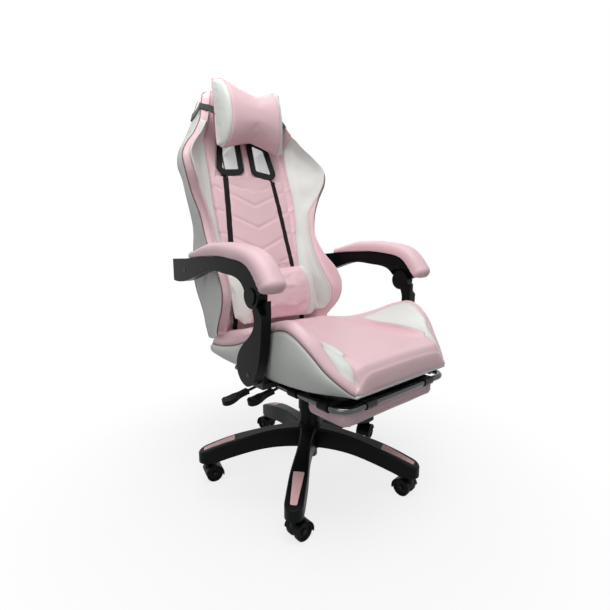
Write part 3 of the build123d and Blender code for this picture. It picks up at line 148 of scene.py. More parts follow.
# Pillows: half-width, half-height at waist and ends, bluntness of the corners, waist aside, fullness of the lower half,
# thickness to front and rear and at the ends, run of the shoulders, bend, and widths of the white ends
HEAD_FORM = dict(half_x=0.135, high=(0.079, 0.112), corner=0.09, aside=0.18, low=1.0, thick=(0.052, 0.064),
                 end_thick=0.014, shoulder=0.34, bend=0.0, lens=(0.038, 0.030))
LUMBAR_FORM = dict(half_x=0.174, high=(0.076, 0.082), corner=0.24, aside=0.0, low=1.14, thick=(0.043, 0.042),
                   end_thick=0.010, shoulder=0.6, bend=0.022, lens=(0.046, 0.060))
SWELL_LIMIT = 0.009
CLOTH = {"quality": 5, "mass": 0.25, "tension_stiffness": 12, "compression_stiffness": 12, "shear_stiffness": 5,
         "bending_stiffness": 0.4, "use_pressure": True, "shrink_min": -0.004, "vertex_group_mass": "seams"}

# Half-width of a sewn groove, lift of a cord out of it, and half-width of the blur between two colours
SEAM_HALF = 0.0045
CORD_LIFT = 0.0004
BLUR = 0.0004


def tint(name, note, value):
    return FloatVectorProperty(name=name, description=note, subtype="COLOR", size=3, min=0, max=1, default=value)


def metres(name, note, value):
    return FloatProperty(name=name, description=note, unit="LENGTH", default=value)


def degrees(name, note, value):
    return FloatProperty(name=name, description=note, subtype="ANGLE", default=math.radians(value))


class ChairColours(bpy.types.PropertyGroup):
    """Colours of the upholstery and the plastics"""

    pink: tint("Pink leather", "Main cover", (0.80, 0.56, 0.595))
    white: tint("White leather", "Inserts and gussets", (0.76, 0.78, 0.745))
    piping: tint("Piping", "Cord along the edges", (0.19, 0.12, 0.125))
    nylon: tint("Black nylon", "Base, castors and covers", (0.0046, 0.0052, 0.0056))
    strip: tint("Black strip", "Strips down the back", (0.013, 0.009, 0.010))
    inlay: tint("Base inlay", "Inlays on the base legs", (0.82, 0.51, 0.515))


class ChairBack(bpy.types.PropertyGroup):
    """Cover of the back"""

    tilt: degrees("Tilt", "Lean of the back at rest", 16)
    foot_y: metres("Foot, rear", "Rear foot of the back", 0.2672)
    foot_z: metres("Foot, height", "Foot of the back above the floor", 0.4390)
    border: metres("Border", "Least band outside an insert", 0.004)
    strip_half: metres("Strip half-width", "Half the width of a black strip", 0.0100)
    chevron_pitch: metres("Chevron pitch", "Height between sewn Vs", 0.078)
    chevron_first: metres("First chevron", "Height of the lowest V", 0.180)
    chevron_slope: FloatProperty(name="Chevron slope", description="Rise of a V for each unit outwards", default=0.43)


class ChairPillows(bpy.types.PropertyGroup):
    """Head pillow, lumbar pillow and strap"""

    head_height: metres("Head pillow height", "Along the back", 0.700)
    head_out: metres("Head pillow depth", "Centre in front of the rear", 0.1520)
    head_lean: degrees("Head pillow lean", "Turn against the back", 10.8)
    lumbar_height: metres("Lumbar pillow height", "Along the back", 0.104)
    lumbar_out: metres("Lumbar pillow depth", "Centre in front of the rear", 0.1243)
    lumbar_across: metres("Lumbar pillow aside", "To the sitter's left", -0.013)
    strap_at: metres("Strap height", "Along the back, at the pillow", 0.701)
    strap_rise: metres("Strap rise", "How much higher it lies behind", 0.060)
    strap_width: metres("Strap width", "Elastic band", 0.026)
    pressure: FloatProperty(name="Filling pressure", description="Stuffing of the pillows", default=1.4)
    frames: IntProperty(name="Settling steps", description="Steps of the cloth", default=16, min=2, max=40)


class ChairStage(bpy.types.PropertyGroup):
    """Camera"""

    eye: FloatVectorProperty(name="Camera place", description="Camera in the chair's frame", subtype="TRANSLATION",
                             size=3, default=(-0.8288, -0.9374, 0.7561))
    pitch: degrees("Camera pitch", "Down from level", 9.4)
    yaw: degrees("Camera yaw", "To the chair's left", 40.8)
    lens: FloatProperty(name="Lens", description="Focal length on a 36 mm sensor", default=24.2)


def sizes(group):
    return getattr(bpy.context.scene, group)


def smooth_line(knots, at, column=1):
    """Smooth curve through one column of the knots."""
    xs, ys = (np.array([knot[k] for knot in knots], float) for k in (0, column))
    if xs[0] > xs[-1]:
        xs, ys = xs[::-1], ys[::-1]
    slope = np.gradient(ys, xs)
    at = np.clip(np.asarray(at, float), xs[0], xs[-1])
    i = np.clip(np.searchsorted(xs, at) - 1, 0, len(xs) - 2)
    h = xs[i + 1] - xs[i]
    t = (at - xs[i]) / h
    start = (1 + 2 * t) * ys[i] + t * h * slope[i]
    end = (3 - 2 * t) * ys[i + 1] + (t - 1) * h * slope[i + 1]
    return start * (1 - t) ** 2 + end * t * t


def groove(distance, half, depth):
    return -depth * np.exp(-((distance / half) ** 2))


def rise(value, low, high):
    t = np.clip((value - low) / (high - low), 0, 1)
    return t * t * (3 - 2 * t)


def ripple(points, size, seed):
    """Gentle unevenness of stretched leather, the same on every run."""
    waves = np.array(((1.7, 0.9, -1.3), (-1.1, 1.9, 0.7), (0.6, -1.4, 2.1)))
    return np.sin(points / size @ waves.T + np.array((1, 2, 3)) * seed).mean(axis=-1)


def pick(obj):
    bpy.ops.object.select_all(action="DESELECT")
    obj.select_set(True)
    bpy.context.view_layer.objects.active = obj


def configure(target, **settings):
    for name, value in settings.items():
        setattr(target, name, value)
    return target


def modify(obj, kind, **settings):
    """Adds a modifier with its settings and applies it."""
    pick(obj)
    bpy.ops.object.modifier_add(type=kind)
    bpy.ops.object.modifier_apply(modifier=configure(obj.modifiers[-1], **settings).name)


def add_object(name, data, **settings):
    obj = configure(bpy.data.objects.new(name, data), **settings)
    bpy.context.scene.collection.objects.link(obj)
    return obj


def add_built(name, bm):
    mesh = bpy.data.meshes.new(name)
    bm.to_mesh(mesh)
    bm.free()
    return add_object(name, mesh)


def grid_mesh(name, grid, ring=True, **fields):
    """Quads over a grid of points with their fields; a ring closes each row, and both ends get a fan."""
    rows, cols = grid.shape[:2]
    points = [tuple(p) for p in grid.reshape(-1, 3)]
    index = np.arange(rows * cols).reshape(rows, cols)
    nxt = np.roll(index, -1, axis=1) if ring else index[:, 1:]
    cur = index if ring else index[:, :-1]
    faces = np.stack([cur[:-1], nxt[:-1], nxt[1:], cur[1:]], axis=-1).reshape(-1, 4).tolist()
    if ring:
        for row, flip in ((0, True), (rows - 1, False)):
            hub = len(points)
            points.append(tuple(grid[row].mean(axis=0)))
            for a, b in zip(cur[row].tolist(), nxt[row].tolist()):
                faces.append((hub, b, a) if flip else (hub, a, b))
    mesh = bpy.data.meshes.new(name)
    mesh.from_pydata(points, [], faces)
    mesh.update()
    obj = add_object(name, mesh)
    write_fields(obj, **fields)
    if ring:
        outward(obj)
    return obj


def outward(obj):
    bm = bmesh.new()
    bm.from_mesh(obj.data)
    bmesh.ops.remove_doubles(bm, verts=bm.verts, dist=1e-6)
    bmesh.ops.recalc_face_normals(bm, faces=bm.faces)
    bm.to_mesh(obj.data)
    bm.free()
    obj.data.update()


def write_fields(obj, **fields):
    """Numbers for every vertex; the hubs of the end fans take the last one."""
    for name, values in fields.items():
        values = np.asarray(values, np.float32).ravel()
        extra = len(obj.data.vertices) - len(values)
        values = np.concatenate([values, np.full(extra, values[-1], np.float32)])
        obj.data.attributes.new(name, "FLOAT", "POINT").data.foreach_set("value", values)


def grid_normals(grid, centre):
    """Unit normals of a grid of rings, turned away from a line of centres."""
    along = np.gradient(grid, axis=0)
    across = (np.roll(grid, -1, axis=1) - np.roll(grid, 1, axis=1)) / 2
    n = np.cross(along, across)
    n /= np.maximum(np.linalg.norm(n, axis=2, keepdims=True), 1e-9)
    flip = np.sign(np.sum(n * (grid - centre), axis=2, keepdims=True))
    return n * np.where(flip == 0, 1, flip)


def tube_along(name, points, radius, closed=False):
    """Round piping along a line of points, made a mesh."""
    curve = configure(bpy.data.curves.new(name, "CURVE"), dimensions="3D", bevel_depth=radius, bevel_resolution=2,
                      use_fill_caps=True)
    spline = curve.splines.new("POLY")
    spline.points.add(len(points) - 1)
    for p, place in zip(spline.points, points):
        p.co = (*place, 1)
    spline.use_cyclic_u = closed
    pick(add_object(name, curve))
    bpy.ops.object.convert(target="MESH")
    obj = bpy.context.object
    bpy.ops.object.shade_smooth()
    return obj


# Finishes


class Nodes:
    """A node tree under construction."""

    def __init__(self, tree):
        self.tree = tree
        tree.nodes.clear()

    def node(self, kind, inputs=None, **settings):
        """New node; an input is a value or another node's output."""
        n = configure(self.tree.nodes.new(kind), **settings)
        for key, value in (inputs or {}).items():
            self.set(n.inputs[key], value)
        return n

    def set(self, socket, value):
        if isinstance(value, bpy.types.NodeSocket):
            self.tree.links.new(value, socket)
        else:
            socket.default_value = value

    def math(self, operation, a, b=0.0):
        return self.node("ShaderNodeMath", {0: a, 1: b}, operation=operation).outputs[0]

    def plus(self, a, b):
        return self.math("ADD", a, b)

    def minus(self, a, b):
        return self.math("SUBTRACT", a, b)

    def times(self, a, b):
        return self.math("MULTIPLY", a, b)

    def between(self, a, b):
        return self.math("ABSOLUTE", self.minus(a, b))


class Finish(Nodes):
    """A node material under construction."""

    def __init__(self, name):
        self.material = bpy.data.materials.new(name)
        self.material.use_nodes = True
        super().__init__(self.material.node_tree)
        self.shader = self.node("ShaderNodeBsdfPrincipled")
        self.out = self.node("ShaderNodeOutputMaterial", {0: self.shader.outputs[0]})
        self.where = self.node("ShaderNodeTexCoord").outputs["Object"]

    def step(self, value, low, high):
        return self.node("ShaderNodeMapRange", {"Value": value, "From Min": low, "From Max": high},
                         interpolation_type="SMOOTHSTEP").outputs[0]

    def span(self, value, low, high):
        return self.node("ShaderNodeMapRange", {"Value": value, "To Min": low, "To Max": high}).outputs[0]

    def field(self, name):
        return self.node("ShaderNodeAttribute", attribute_name=name).outputs["Fac"]

    def noise(self, scale, detail=3.0, rough=0.5):
        return self.node("ShaderNodeTexNoise", {"Vector": self.where, "Scale": scale, "Detail": detail,
                                                "Roughness": rough}).outputs["Fac"]

    def cells(self, scale):
        return self.node("ShaderNodeTexVoronoi", {"Vector": self.where, "Scale": scale},
                         feature="DISTANCE_TO_EDGE").outputs["Distance"]

    def mix(self, share, a, b):
        return self.node("ShaderNodeMix", {"Factor": share, 6: opaque(a), 7: opaque(b)}, data_type="RGBA").outputs[2]

    def drifting(self, share, colour, low, high):
        """Colour between a darker and a paler shade of itself."""
        return self.mix(share, shade(colour, low), shade(colour, high))

    def surface(self, colour, rough, bump=None, **more):
        """Sets colour, roughness, bump (height, strength, distance) and other inputs, _ for a space."""
        if bump:
            more["Normal"] = self.node("ShaderNodeBump", dict(zip(("Height", "Strength", "Distance"), bump))).outputs[0]
        for name, value in dict(more, Base_Color=opaque(colour), Roughness=rough).items():
            self.set(self.shader.inputs[name.replace("_", " ")], value)
        return self.material


def opaque(colour):
    return (*colour, 1) if isinstance(colour, tuple) else colour


def shade(colour, factor):
    return tuple(min(1.0, c * factor) for c in colour)


def sewn_row(f, distance, offset, fade, pitch, pause):
    """Row of stitches at an offset from a seam: 1 on a stitch, 0 beside it."""
    row = f.minus(1.0, f.step(f.between(distance, offset), 0.0003, fade))
    beat = f.between(f.math("FRACT", f.times(f.field("run"), pitch)), 0.5)
    return f.times(row, f.step(beat, pause, 0.34))


def leather(name, zones=False, quilted=False, strips=False):
    """Coated leather: fine pebble grain, soft creases, sewn seams and, where asked, white and black zones."""
    c = sizes("chair_colours")
    f = Finish(name)
    drift = f.noise(9.0)
    base = f.drifting(drift, c.pink, 0.955, 1.03)
    grain = f.step(f.cells(950.0), 0.0, 0.22)
    crease = f.noise(70.0, 4.0, 0.6)
    height = f.plus(f.times(grain, 0.35), f.times(crease, 0.65))
    if zones:
        edge = f.field("white")
        base = f.mix(f.step(edge, -BLUR, BLUR), base, f.drifting(drift, c.white, 0.96, 1.03))
        gap = f.math("ABSOLUTE", edge)
        fold = f.minus(1.0, f.step(gap, 0.0, 0.0022))
        base = f.mix(f.times(fold, 0.35), base, shade(c.piping, 1.3))
        sewn = sewn_row(f, gap, 0.0042, 0.0007, 200.0, 0.40)
        base = f.mix(f.times(sewn, 0.5), base, shade(c.pink, 0.75))
        height = f.plus(f.minus(height, f.times(fold, 1.5)), f.times(sewn, 1.2))
    if quilted:
        sewn = sewn_row(f, f.math("ABSOLUTE", f.field("chevron")), 0.0022, 0.0008, 220.0, 0.42)
        base = f.mix(f.times(sewn, 0.55), base, shade(c.pink, 1.22))
        height = f.plus(height, f.times(sewn, 1.2))
    gloss, sheen = 0.42, 0.06
    if strips:
        band = f.step(f.field("strip"), -BLUR, BLUR)
        base = f.mix(band, base, f.drifting(drift, c.strip, 0.8, 1.4))
        bare = f.minus(1.0, band)
        gloss, sheen = f.plus(0.08, f.times(bare, 0.34)), f.times(bare, 0.06)
    return f.surface(base, f.span(crease, 0.36, 0.52), (height, 0.22, 0.0006), Specular_IOR_Level=gloss,
                     Sheen_Weight=sheen, Sheen_Roughness=0.4)


def piping_leather(name):
    f = Finish(name)
    base = f.drifting(f.noise(160.0, 2.0), sizes("chair_colours").piping, 0.75, 1.35)
    return f.surface(base, 0.5, (f.noise(900.0, 2.0), 0.25, 0.0004))


def moulded(name, colour, rough=0.42, grain=1400.0, strength=0.16, wear=1.6):
    """Moulded plastic: eroded grain, slight flow marks and paler scuffs."""
    f = Finish(name)
    cloud = f.noise(22.0, 4.0, 0.6)
    scuff = f.step(f.noise(130.0, 5.0, 0.75), 0.62, 0.80)
    base = f.mix(f.times(scuff, 0.5), f.drifting(cloud, colour, 0.85, 1.2), shade(colour, wear))
    dull = f.plus(f.span(cloud, rough - 0.06, rough + 0.06), f.times(scuff, 0.12))
    return f.surface(base, dull, (f.noise(grain, 2.0), strength, 0.0004), Specular_IOR_Level=0.09)


def bezel_with_painted_light(name, colour, through_light):
    """Moulded rims round a strap duct whose walls behind the front rim are pale and half metallic, painted light for
    the bright view through the opening.
    """
    b = sizes("chair_back")
    f = Finish(name)
    place = f.node("ShaderNodeSeparateXYZ", {0: f.where}).outputs
    back = f.plus(f.times(f.minus(place["Y"], b.foot_y), math.cos(b.tilt)),
                  f.times(f.minus(place["Z"], b.foot_z), -math.sin(b.tilt)))
    inner = f.times(f.step(back, *THROUGH_LIGHT_FRONT), f.step(back, *THROUGH_LIGHT_REAR))
    cloud = f.noise(22.0, 4.0, 0.6)
    # painted light: the walls inside the duct turn pale and half metallic, standing in for the bright view through the
    # opening
    base = f.mix(inner, f.drifting(cloud, colour, 0.85, 1.2), f.drifting(cloud, through_light, 1.1, 1.2))
    return f.surface(base, f.span(cloud, 0.40, 0.50), (f.noise(1800.0, 2.0), 0.08, 0.0004),
                     Metallic=f.times(inner, 0.6), Specular_IOR_Level=0.24)


def coated_metal(name, colour, rough=0.38):
    """Powder-coated steel with orange-peel texture."""
    f = Finish(name)
    peel = f.noise(700.0, 2.0)
    base = f.drifting(f.noise(16.0), colour, 0.85, 1.25)
    return f.surface(base, f.span(peel, rough - 0.08, rough + 0.1), (peel, 0.18, 0.0005), Specular_IOR_Level=0.3)


def plated(name, colour, rough):
    """Bright plate with faint polishing marks."""
    f = Finish(name)
    cloud = f.noise(40.0, 4.0, 0.6)
    return f.surface(f.drifting(cloud, colour, 0.93, 1.0), f.span(cloud, rough * 0.6, rough * 1.7),
                     (f.noise(220.0), 0.03, 0.0003), Metallic=1.0)


def woven(name, colour, pitch=900.0):
    """Elastic webbing: raised ribs crossed by fine threads."""
    f = Finish(name)
    ribs = f.node("ShaderNodeTexWave", {"Vector": f.where, "Scale": pitch / 6.0, "Distortion": 0.6},
                  bands_direction="Z").outputs["Fac"]
    height = f.plus(f.times(ribs, 0.7), f.times(f.cells(pitch), 0.6))
    return f.surface(f.drifting(ribs, colour, 0.7, 1.7), 0.75, (height, 0.4, 0.0006), Sheen_Weight=0.2)


def dress(material, *patterns):
    """Puts a finish on the rigid pieces whose names fit."""
    for name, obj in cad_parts.items():
        if any(fnmatch(name, pattern) for pattern in patterns):
            obj.data.materials.clear()
            obj.data.materials.append(material)


def add_cord(name, points, radius, body, welt=False):
    """Piping along a line, or a closed welt of leather."""
    obj = tube_along(name, points, radius, closed=welt)
    obj.data.materials.append(leather(name + "_leather") if welt else piping_leather(name + "_finish"))
    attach(obj, body)


def upholster(obj, material, body, fill, *nodes):
    """Gives a finished cover its material and smooth shading, carries it with a body and hides the solids that it
    stands for.
    """
    obj.data.materials.append(material)
    pick(obj)
    bpy.ops.object.shade_smooth()
    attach(obj, body)
    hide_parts(*nodes)


def to_room(points):
    """Points of the upright back (across, depth, height) carried into the chair's frame."""
    b = sizes("chair_back")
    p = np.asarray(points, float)
    c, s = math.cos(b.tilt), math.sin(b.tilt)
    return np.stack([p[..., 0], b.foot_y + p[..., 1] * c + p[..., 2] * s,
                     b.foot_z - p[..., 1] * s + p[..., 2] * c], axis=-1)


def arc(start, end, bulge, count):
    """Points on from the start to the end; the middle stands off to the right by bulge."""
    t = np.linspace(0, 1, count + 1)[1:]
    a, b = np.array(start, float), np.array(end, float)
    d = (b - a) / max(np.linalg.norm(b - a), 1e-9)
    n = np.array([d[1], -d[0]])
    return a + np.outer(t, b - a) + np.outer(4 * t * (1 - t) * bulge, n)


def half_ring(corners, bulges, counts, crown):
    """Half a section: from corner to corner, then on to the middle, crowned."""
    arcs = [arc(*part) for part in zip(corners, corners[1:], bulges, counts)]
    x, level = corners[-1]
    t = np.linspace(0, 1, counts[-1] + 1)[1:]
    return np.concatenate([[corners[0]], *arcs, np.stack([x * (1 - t), level + crown * (1 - (1 - t) ** 2)], axis=1)])


def back_half_ring(height):
    """Half of the back's section, from mid-rear round to mid-front."""
    wing, rear, depth, lift = (float(smooth_line(BACK_STATIONS, height, k)) for k in (1, 2, 3, 4))
    front = depth + lift
    edge = min(BACK_EDGE, 0.6 * front)
    valley = min(BACK_VALLEY, wing - 0.058)
    corners = ((0, 0), (rear, 0), (wing, edge - front), (wing - edge, -front), (valley, -depth))
    return half_ring(corners, (0.003, 0.004, 0.2 * edge, WING_BULGE), BACK_COUNTS, -BACK_CROWN)


def closing(count):
    """Shares of a quarter round at an end: how far on, and how much of the section is left."""
    angles = np.linspace(0, math.pi / 2, count + 1)[1:]
    return [(math.sin(a), max(math.cos(a), 0.03)) for a in angles]


def closed_rings(section, stops, first, last):
    """Rings mirrored from half sections at the stops, with a quarter round at each end.

    An end is its count of rings, its reach, its narrowing and, if not the section's mean, the level where it closes.
    """

    def end(stop, count, reach, narrowing, level=None):
        half = section(stop)
        mid = np.array([0, half[:, 1].mean() if level is None else level])
        return [(mid + (half - mid) * np.array([1 - narrowing * (1 - left), left]), stop + reach * on)
                for on, left in closing(count)]

    rows = end(stops[0], *first)[::-1] + [(section(stop), stop) for stop in stops] + end(stops[-1], *last)
    half, places = (np.array(column) for column in zip(*rows))
    ring = np.concatenate([half, half[:, -2:0:-1] * np.array([-1, 1])], axis=1)
    return ring, np.repeat(places[:, None], ring.shape[1], axis=1)


def ring_walk(grid, middle):
    """Number of each column, alike on both sides, and the way round to it."""
    cols = grid.shape[1]
    place = np.arange(cols)
    place = np.where(place <= middle, place, cols - place)[None]
    step = np.linalg.norm(np.diff(grid, axis=1, append=grid[:, :1]), axis=2)
    walk = np.cumsum(step, axis=1) - step
    half = walk[:, middle][:, None]
    return place, np.minimum(walk, 2 * half - walk)


def cord_lines(shaped, normal, mark, lift, part):
    """Lines of a cord down the two sides of a cover."""
    return [(shaped[:, i] + normal[:, i] * lift)[part] for i in (mark, shaped.shape[1] - mark)]


def back_grid():
    stops = np.linspace(BACK_LOW, BACK_STATIONS[-1][0] - 0.010, 206)
    ring, up = closed_rings(back_half_ring, stops, (6, -0.010, 0.06), (7, 0.016, 0.35))
    return np.dstack([ring, up])


def back_fields(grid, place, walk):
    """Distances to the edge of white, of the strips and of the sewn Vs."""
    b = sizes("chair_back")
    side, height = np.abs(grid[..., 0]), grid[..., 2]
    corner, cord = (walk[:, mark][:, None] for mark in (BACK.corner, BACK.piping))
    white = np.minimum(walk - corner, cord - walk)
    inner = smooth_line(LENS_INNER, height)
    outer = np.minimum(smooth_line(LENS_OUTER, height), smooth_line(BACK_STATIONS, height) - b.border)
    lens = np.minimum(np.minimum(outer - side, side - inner), height - LENS_FOOT)
    white = np.where(place > BACK.piping + 1, np.maximum(white, lens), white)
    front = place > BACK.edge
    line = STRIP_AT + (STRIP_LEVEL - height) * STRIP_SPLAY
    strip = np.where(front, np.minimum(b.strip_half - np.abs(side - line), STRIP_TOP - height), -1.0)
    phase = (height - b.chevron_slope * side - b.chevron_first) / b.chevron_pitch
    chevron = (phase - np.round(phase)) * b.chevron_pitch * math.cos(math.atan(b.chevron_slope))
    sewn = front & (side < inner) & (phase > CHEVRON_SPAN[0]) & (phase < CHEVRON_SPAN[1])
    return white, strip, np.where(sewn, chevron, NO_SEAM)


def port_sides():
    """A corner and the outward normal of each side of a strap opening, in the back's face."""
    pts = np.array(PORT_CORNERS)
    sides = []
    for a, b in zip(pts, np.roll(pts, -1, axis=0)):
        d = (b - a) / np.linalg.norm(b - a)
        sides.append((a, np.array([d[1], -d[0]])))
    return sides


def port_distance(x, height):
    """Signed distance, in the back's face, outside the nearer strap opening."""
    return np.max([(np.abs(x) - a[0]) * n[0] + (height - a[1]) * n[1] for a, n in port_sides()], axis=0)


def cut_port(obj, sign):
    """Opens the cover through and through for one strap duct."""
    lines = [(n, n @ a + PORT_ROOM) for a, n in port_sides()]
    corners = [np.linalg.solve([m, n], [k, level]) for (m, k), (n, level) in zip(lines[-1:] + lines, lines)]
    bm = bmesh.new()
    ends = [[bm.verts.new(to_room((sign * x, depth, height))) for x, height in corners] for depth in (0.04, -0.16)]
    for end in ends:
        bm.faces.new(end)
    for i in range(4):
        bm.faces.new([ends[0][i], ends[0][(i + 1) % 4], ends[1][(i + 1) % 4], ends[1][i]])
    bmesh.ops.recalc_face_normals(bm, faces=bm.faces)
    duct = add_built("duct", bm)
    modify(obj, "BOOLEAN", operation="DIFFERENCE", solver="EXACT", object=duct)
    bpy.data.objects.remove(duct)


def make_back_cover():
    """Back in one cover, with its seams pressed in and its openings cut, and its piping."""
    grid = back_grid()
    place, walk = ring_walk(grid, BACK.middle)
    white, strip, chevron = back_fields(grid, place, walk)
    normal = grid_normals(grid, grid.mean(axis=1, keepdims=True))
    height = grid[..., 2]
    body = rise(height, 0.02, 0.06) * (1 - rise(height, 0.78, 0.82))
    move = groove(white, SEAM_HALF, 0.0030)
    move += 0.0040 * rise(white, 0.004, 0.030) * (place > BACK.piping)
    quilt = np.where(np.abs(chevron) < 0.045, groove(chevron, SEAM_HALF, 0.0024) + 0.0012, 0) * body
    move += quilt * (1 - rise(strip, -0.006, 0.0))
    move += 0.0012 * rise(strip, -0.0010, 0.0010) + groove(strip, 0.0022, 0.0010) * (strip > -0.02)
    move += 0.0007 * ripple(grid, 0.030, 1.3)
    port = port_distance(grid[..., 0], height)
    move += groove(np.maximum(port - 0.020, 0), 0.012, 0.002) * (port < 0.06)
    shaped = grid + normal * move[..., None]
    depth = shaped[..., 1]
    under_rim = -(0.0795 + 0.022 * rise(port, 0.0205, 0.0290))
    around = (place > BACK.edge) & (port < 0.04)
    depth[:] = np.where(around, np.maximum(depth, under_rim), depth)
    behind = (place <= BACK.corner) & (port < 0.024)
    depth[:] = np.where(behind, np.minimum(depth, -0.0006), depth)
    obj = grid_mesh("back_cover", to_room(shaped), white=white, strip=strip, chevron=chevron,
                    run=np.hypot(grid[..., 0], height))
    for sign in (-1, 1):
        cut_port(obj, sign)
    upholster(obj, leather("back_leather", zones=True, quilted=True, strips=True), "back", 0.85,
              "back_core", "back_quilt", "back_wing_left", "back_wing_right", "back_rear_panel")
    for name, mark, lift, radius in (("back_piping", BACK.piping, CORD_LIFT, 0.0019),
                                     ("back_rear_piping", BACK.corner, 0.0, 0.0016)):
        left, right = cord_lines(shaped, normal, mark, lift, slice(6, -1, 2))
        add_cord(name, to_room(np.concatenate([left, right[::-1]])), radius, "back")


def seat_half_ring(y):
    """Half of the seat's section, from mid-underside round to mid-top."""
    foot, flank, ridge, crown = (float(smooth_line(SEAT_STATIONS, y, k)) for k in (1, 2, 3, 4))
    corner = min(SEAT_CORNER, 0.6 * (ridge - SEAT_FLOOR))
    valley = min(SEAT_VALLEY, flank - 0.055)
    low = crown - SEAT_SINK
    corners = ((0, SEAT_FLOOR), (foot, SEAT_FLOOR), (flank, ridge - corner), (flank - corner, ridge), (valley, low))
    return half_ring(corners, (0, 0.004, 0.2 * corner, WING_BULGE), SEAT_COUNTS, SEAT_SINK)


def seat_grid():
    back_y, front_y = SEAT_STATIONS[0][0] - 0.010, SEAT_STATIONS[-1][0] + 0.003
    stops = np.concatenate([np.linspace(back_y, -0.30, 106), np.linspace(-0.303, front_y, 26)])
    ring, y = closed_rings(seat_half_ring, stops, (6, 0.012, 0.05, 0.43), (6, -0.006, 0.05, SEAT_FLOOR + 0.008))
    return np.dstack([ring[..., 0], y, ring[..., 1]])


def make_seat_cover():
    """Bucket seat in one cover, with its seams pressed in, and its piping."""
    grid = seat_grid()
    place, walk = ring_walk(grid, SEAT.middle)
    side, y = np.abs(grid[..., 0]), grid[..., 1]
    foot, cord = (walk[:, mark][:, None] for mark in (SEAT.corner, SEAT.piping))
    white = np.where(place <= SEAT.corner, 0.01, cord - walk)
    inner, outer = (smooth_line(INSERT_EDGES, y, k) for k in (1, 2))
    patch = np.minimum(outer - side, side - inner)
    patch = np.minimum(patch, np.minimum(INSERT_ENDS[1] - y, y - INSERT_ENDS[0]))
    front = place > SEAT.edge - 3
    white = np.where(front, np.maximum(white, patch), white)
    seam = np.where(front, side - SEAT_SEAM, NO_SEAM)
    normal = grid_normals(grid, grid.mean(axis=1, keepdims=True) * np.array([0.0, 1, 1]))
    move = groove(white, SEAM_HALF, 0.0028) * (place > SEAT.corner)
    move += 0.0035 * rise(white, 0.004, 0.028) * (place > SEAT.piping)
    move += groove(seam, 0.006, 0.0022) * (y > -0.33)
    top = (place > SEAT.valley) * rise(0.18 - y, 0.0, 0.05) * rise(y + 0.35, 0.0, 0.05)
    move += 0.0006 * ripple(grid, 0.055, 0.4) * top
    flank = (place > SEAT.corner) & (place < SEAT.piping)
    share = (walk - foot) / np.maximum(cord - foot, 1e-6)
    move += np.where(flank, 0.006 * np.sin(math.pi * np.clip(share, 0, 1)) * rise(y + 0.36, 0, 0.08), 0)
    shaped = grid + normal * move[..., None]
    shaped[..., 2] = np.maximum(shaped[..., 2], SEAT_FLOOR)
    upholster(grid_mesh("seat_cover", shaped, white=white, run=y + side), leather("seat_leather", zones=True), "seat",
              0.85, "seat_cushion", "seat_bolster_left", "seat_bolster_right")
    lines = cord_lines(shaped, normal, SEAT.piping, CORD_LIFT, slice(5, -3, 2))
    for name, line in zip(("seat_piping_left", "seat_piping_right"), lines):
        add_cord(name, line, 0.0023, "seat")


def places_of(mesh):
    places = np.empty(len(mesh.vertices) * 3, np.float32)
    mesh.vertices.foreach_get("co", places)
    return places.reshape(-1, 3)


def settle(obj, held, pressure, steps):
    """Lets the filling press the cover out as cloth, held at its seams, and keeps that as the mesh."""
    before = places_of(obj.data)
    group = obj.vertex_groups.new(name="seams")
    group.add([int(i) for i in np.nonzero(held)[0]], 1.0, "REPLACE")
    pick(obj)
    bpy.ops.object.modifier_add(type="CLOTH")
    cloth = obj.modifiers[-1]
    configure(cloth.settings, **CLOTH, uniform_pressure_force=pressure)
    cloth.settings.effector_weights.gravity = 0
    configure(cloth.collision_settings, use_collision=False, use_self_collision=False)
    configure(cloth.point_cache, frame_start=1, frame_end=steps)
    for step in range(1, steps + 1):
        bpy.context.scene.frame_set(step)
    bpy.ops.object.modifier_apply(modifier=cloth.name)
    bpy.context.scene.frame_set(1)
    move = places_of(obj.data) - before
    size = np.linalg.norm(move, axis=1, keepdims=True)
    move *= np.minimum(1.0, SWELL_LIMIT / np.maximum(size, 1e-9))
    obj.data.vertices.foreach_set("co", (before + move).ravel())
    obj.data.update()
    obj.vertex_groups.clear()


def spread(count):
    """Places from -1 to 1, closer together towards the ends."""
    return np.sin(np.linspace(-math.pi / 2, math.pi / 2, count) * 0.92) / math.sin(math.pi / 2 * 0.92)


def pillow_rim(half_x, high, corner, aside, low, u, v):
    """Place on the pillow's flat pattern: waisted, with blunt corners."""
    far = np.abs(u - aside * np.maximum(v, 0) * (1 - u ** 2))
    tall = high[0] + (high[1] - high[0]) * np.minimum(far / 0.85, 1) ** 1.4 - corner * high[1] * rise(far, 0.78, 1.0)
    x = half_x * u * (1 - 0.015 * (1 - v ** 2) * np.abs(u) ** 3 - 0.02 * v ** 6)
    return x, tall * v * np.where(v < 0, low, 1.0)


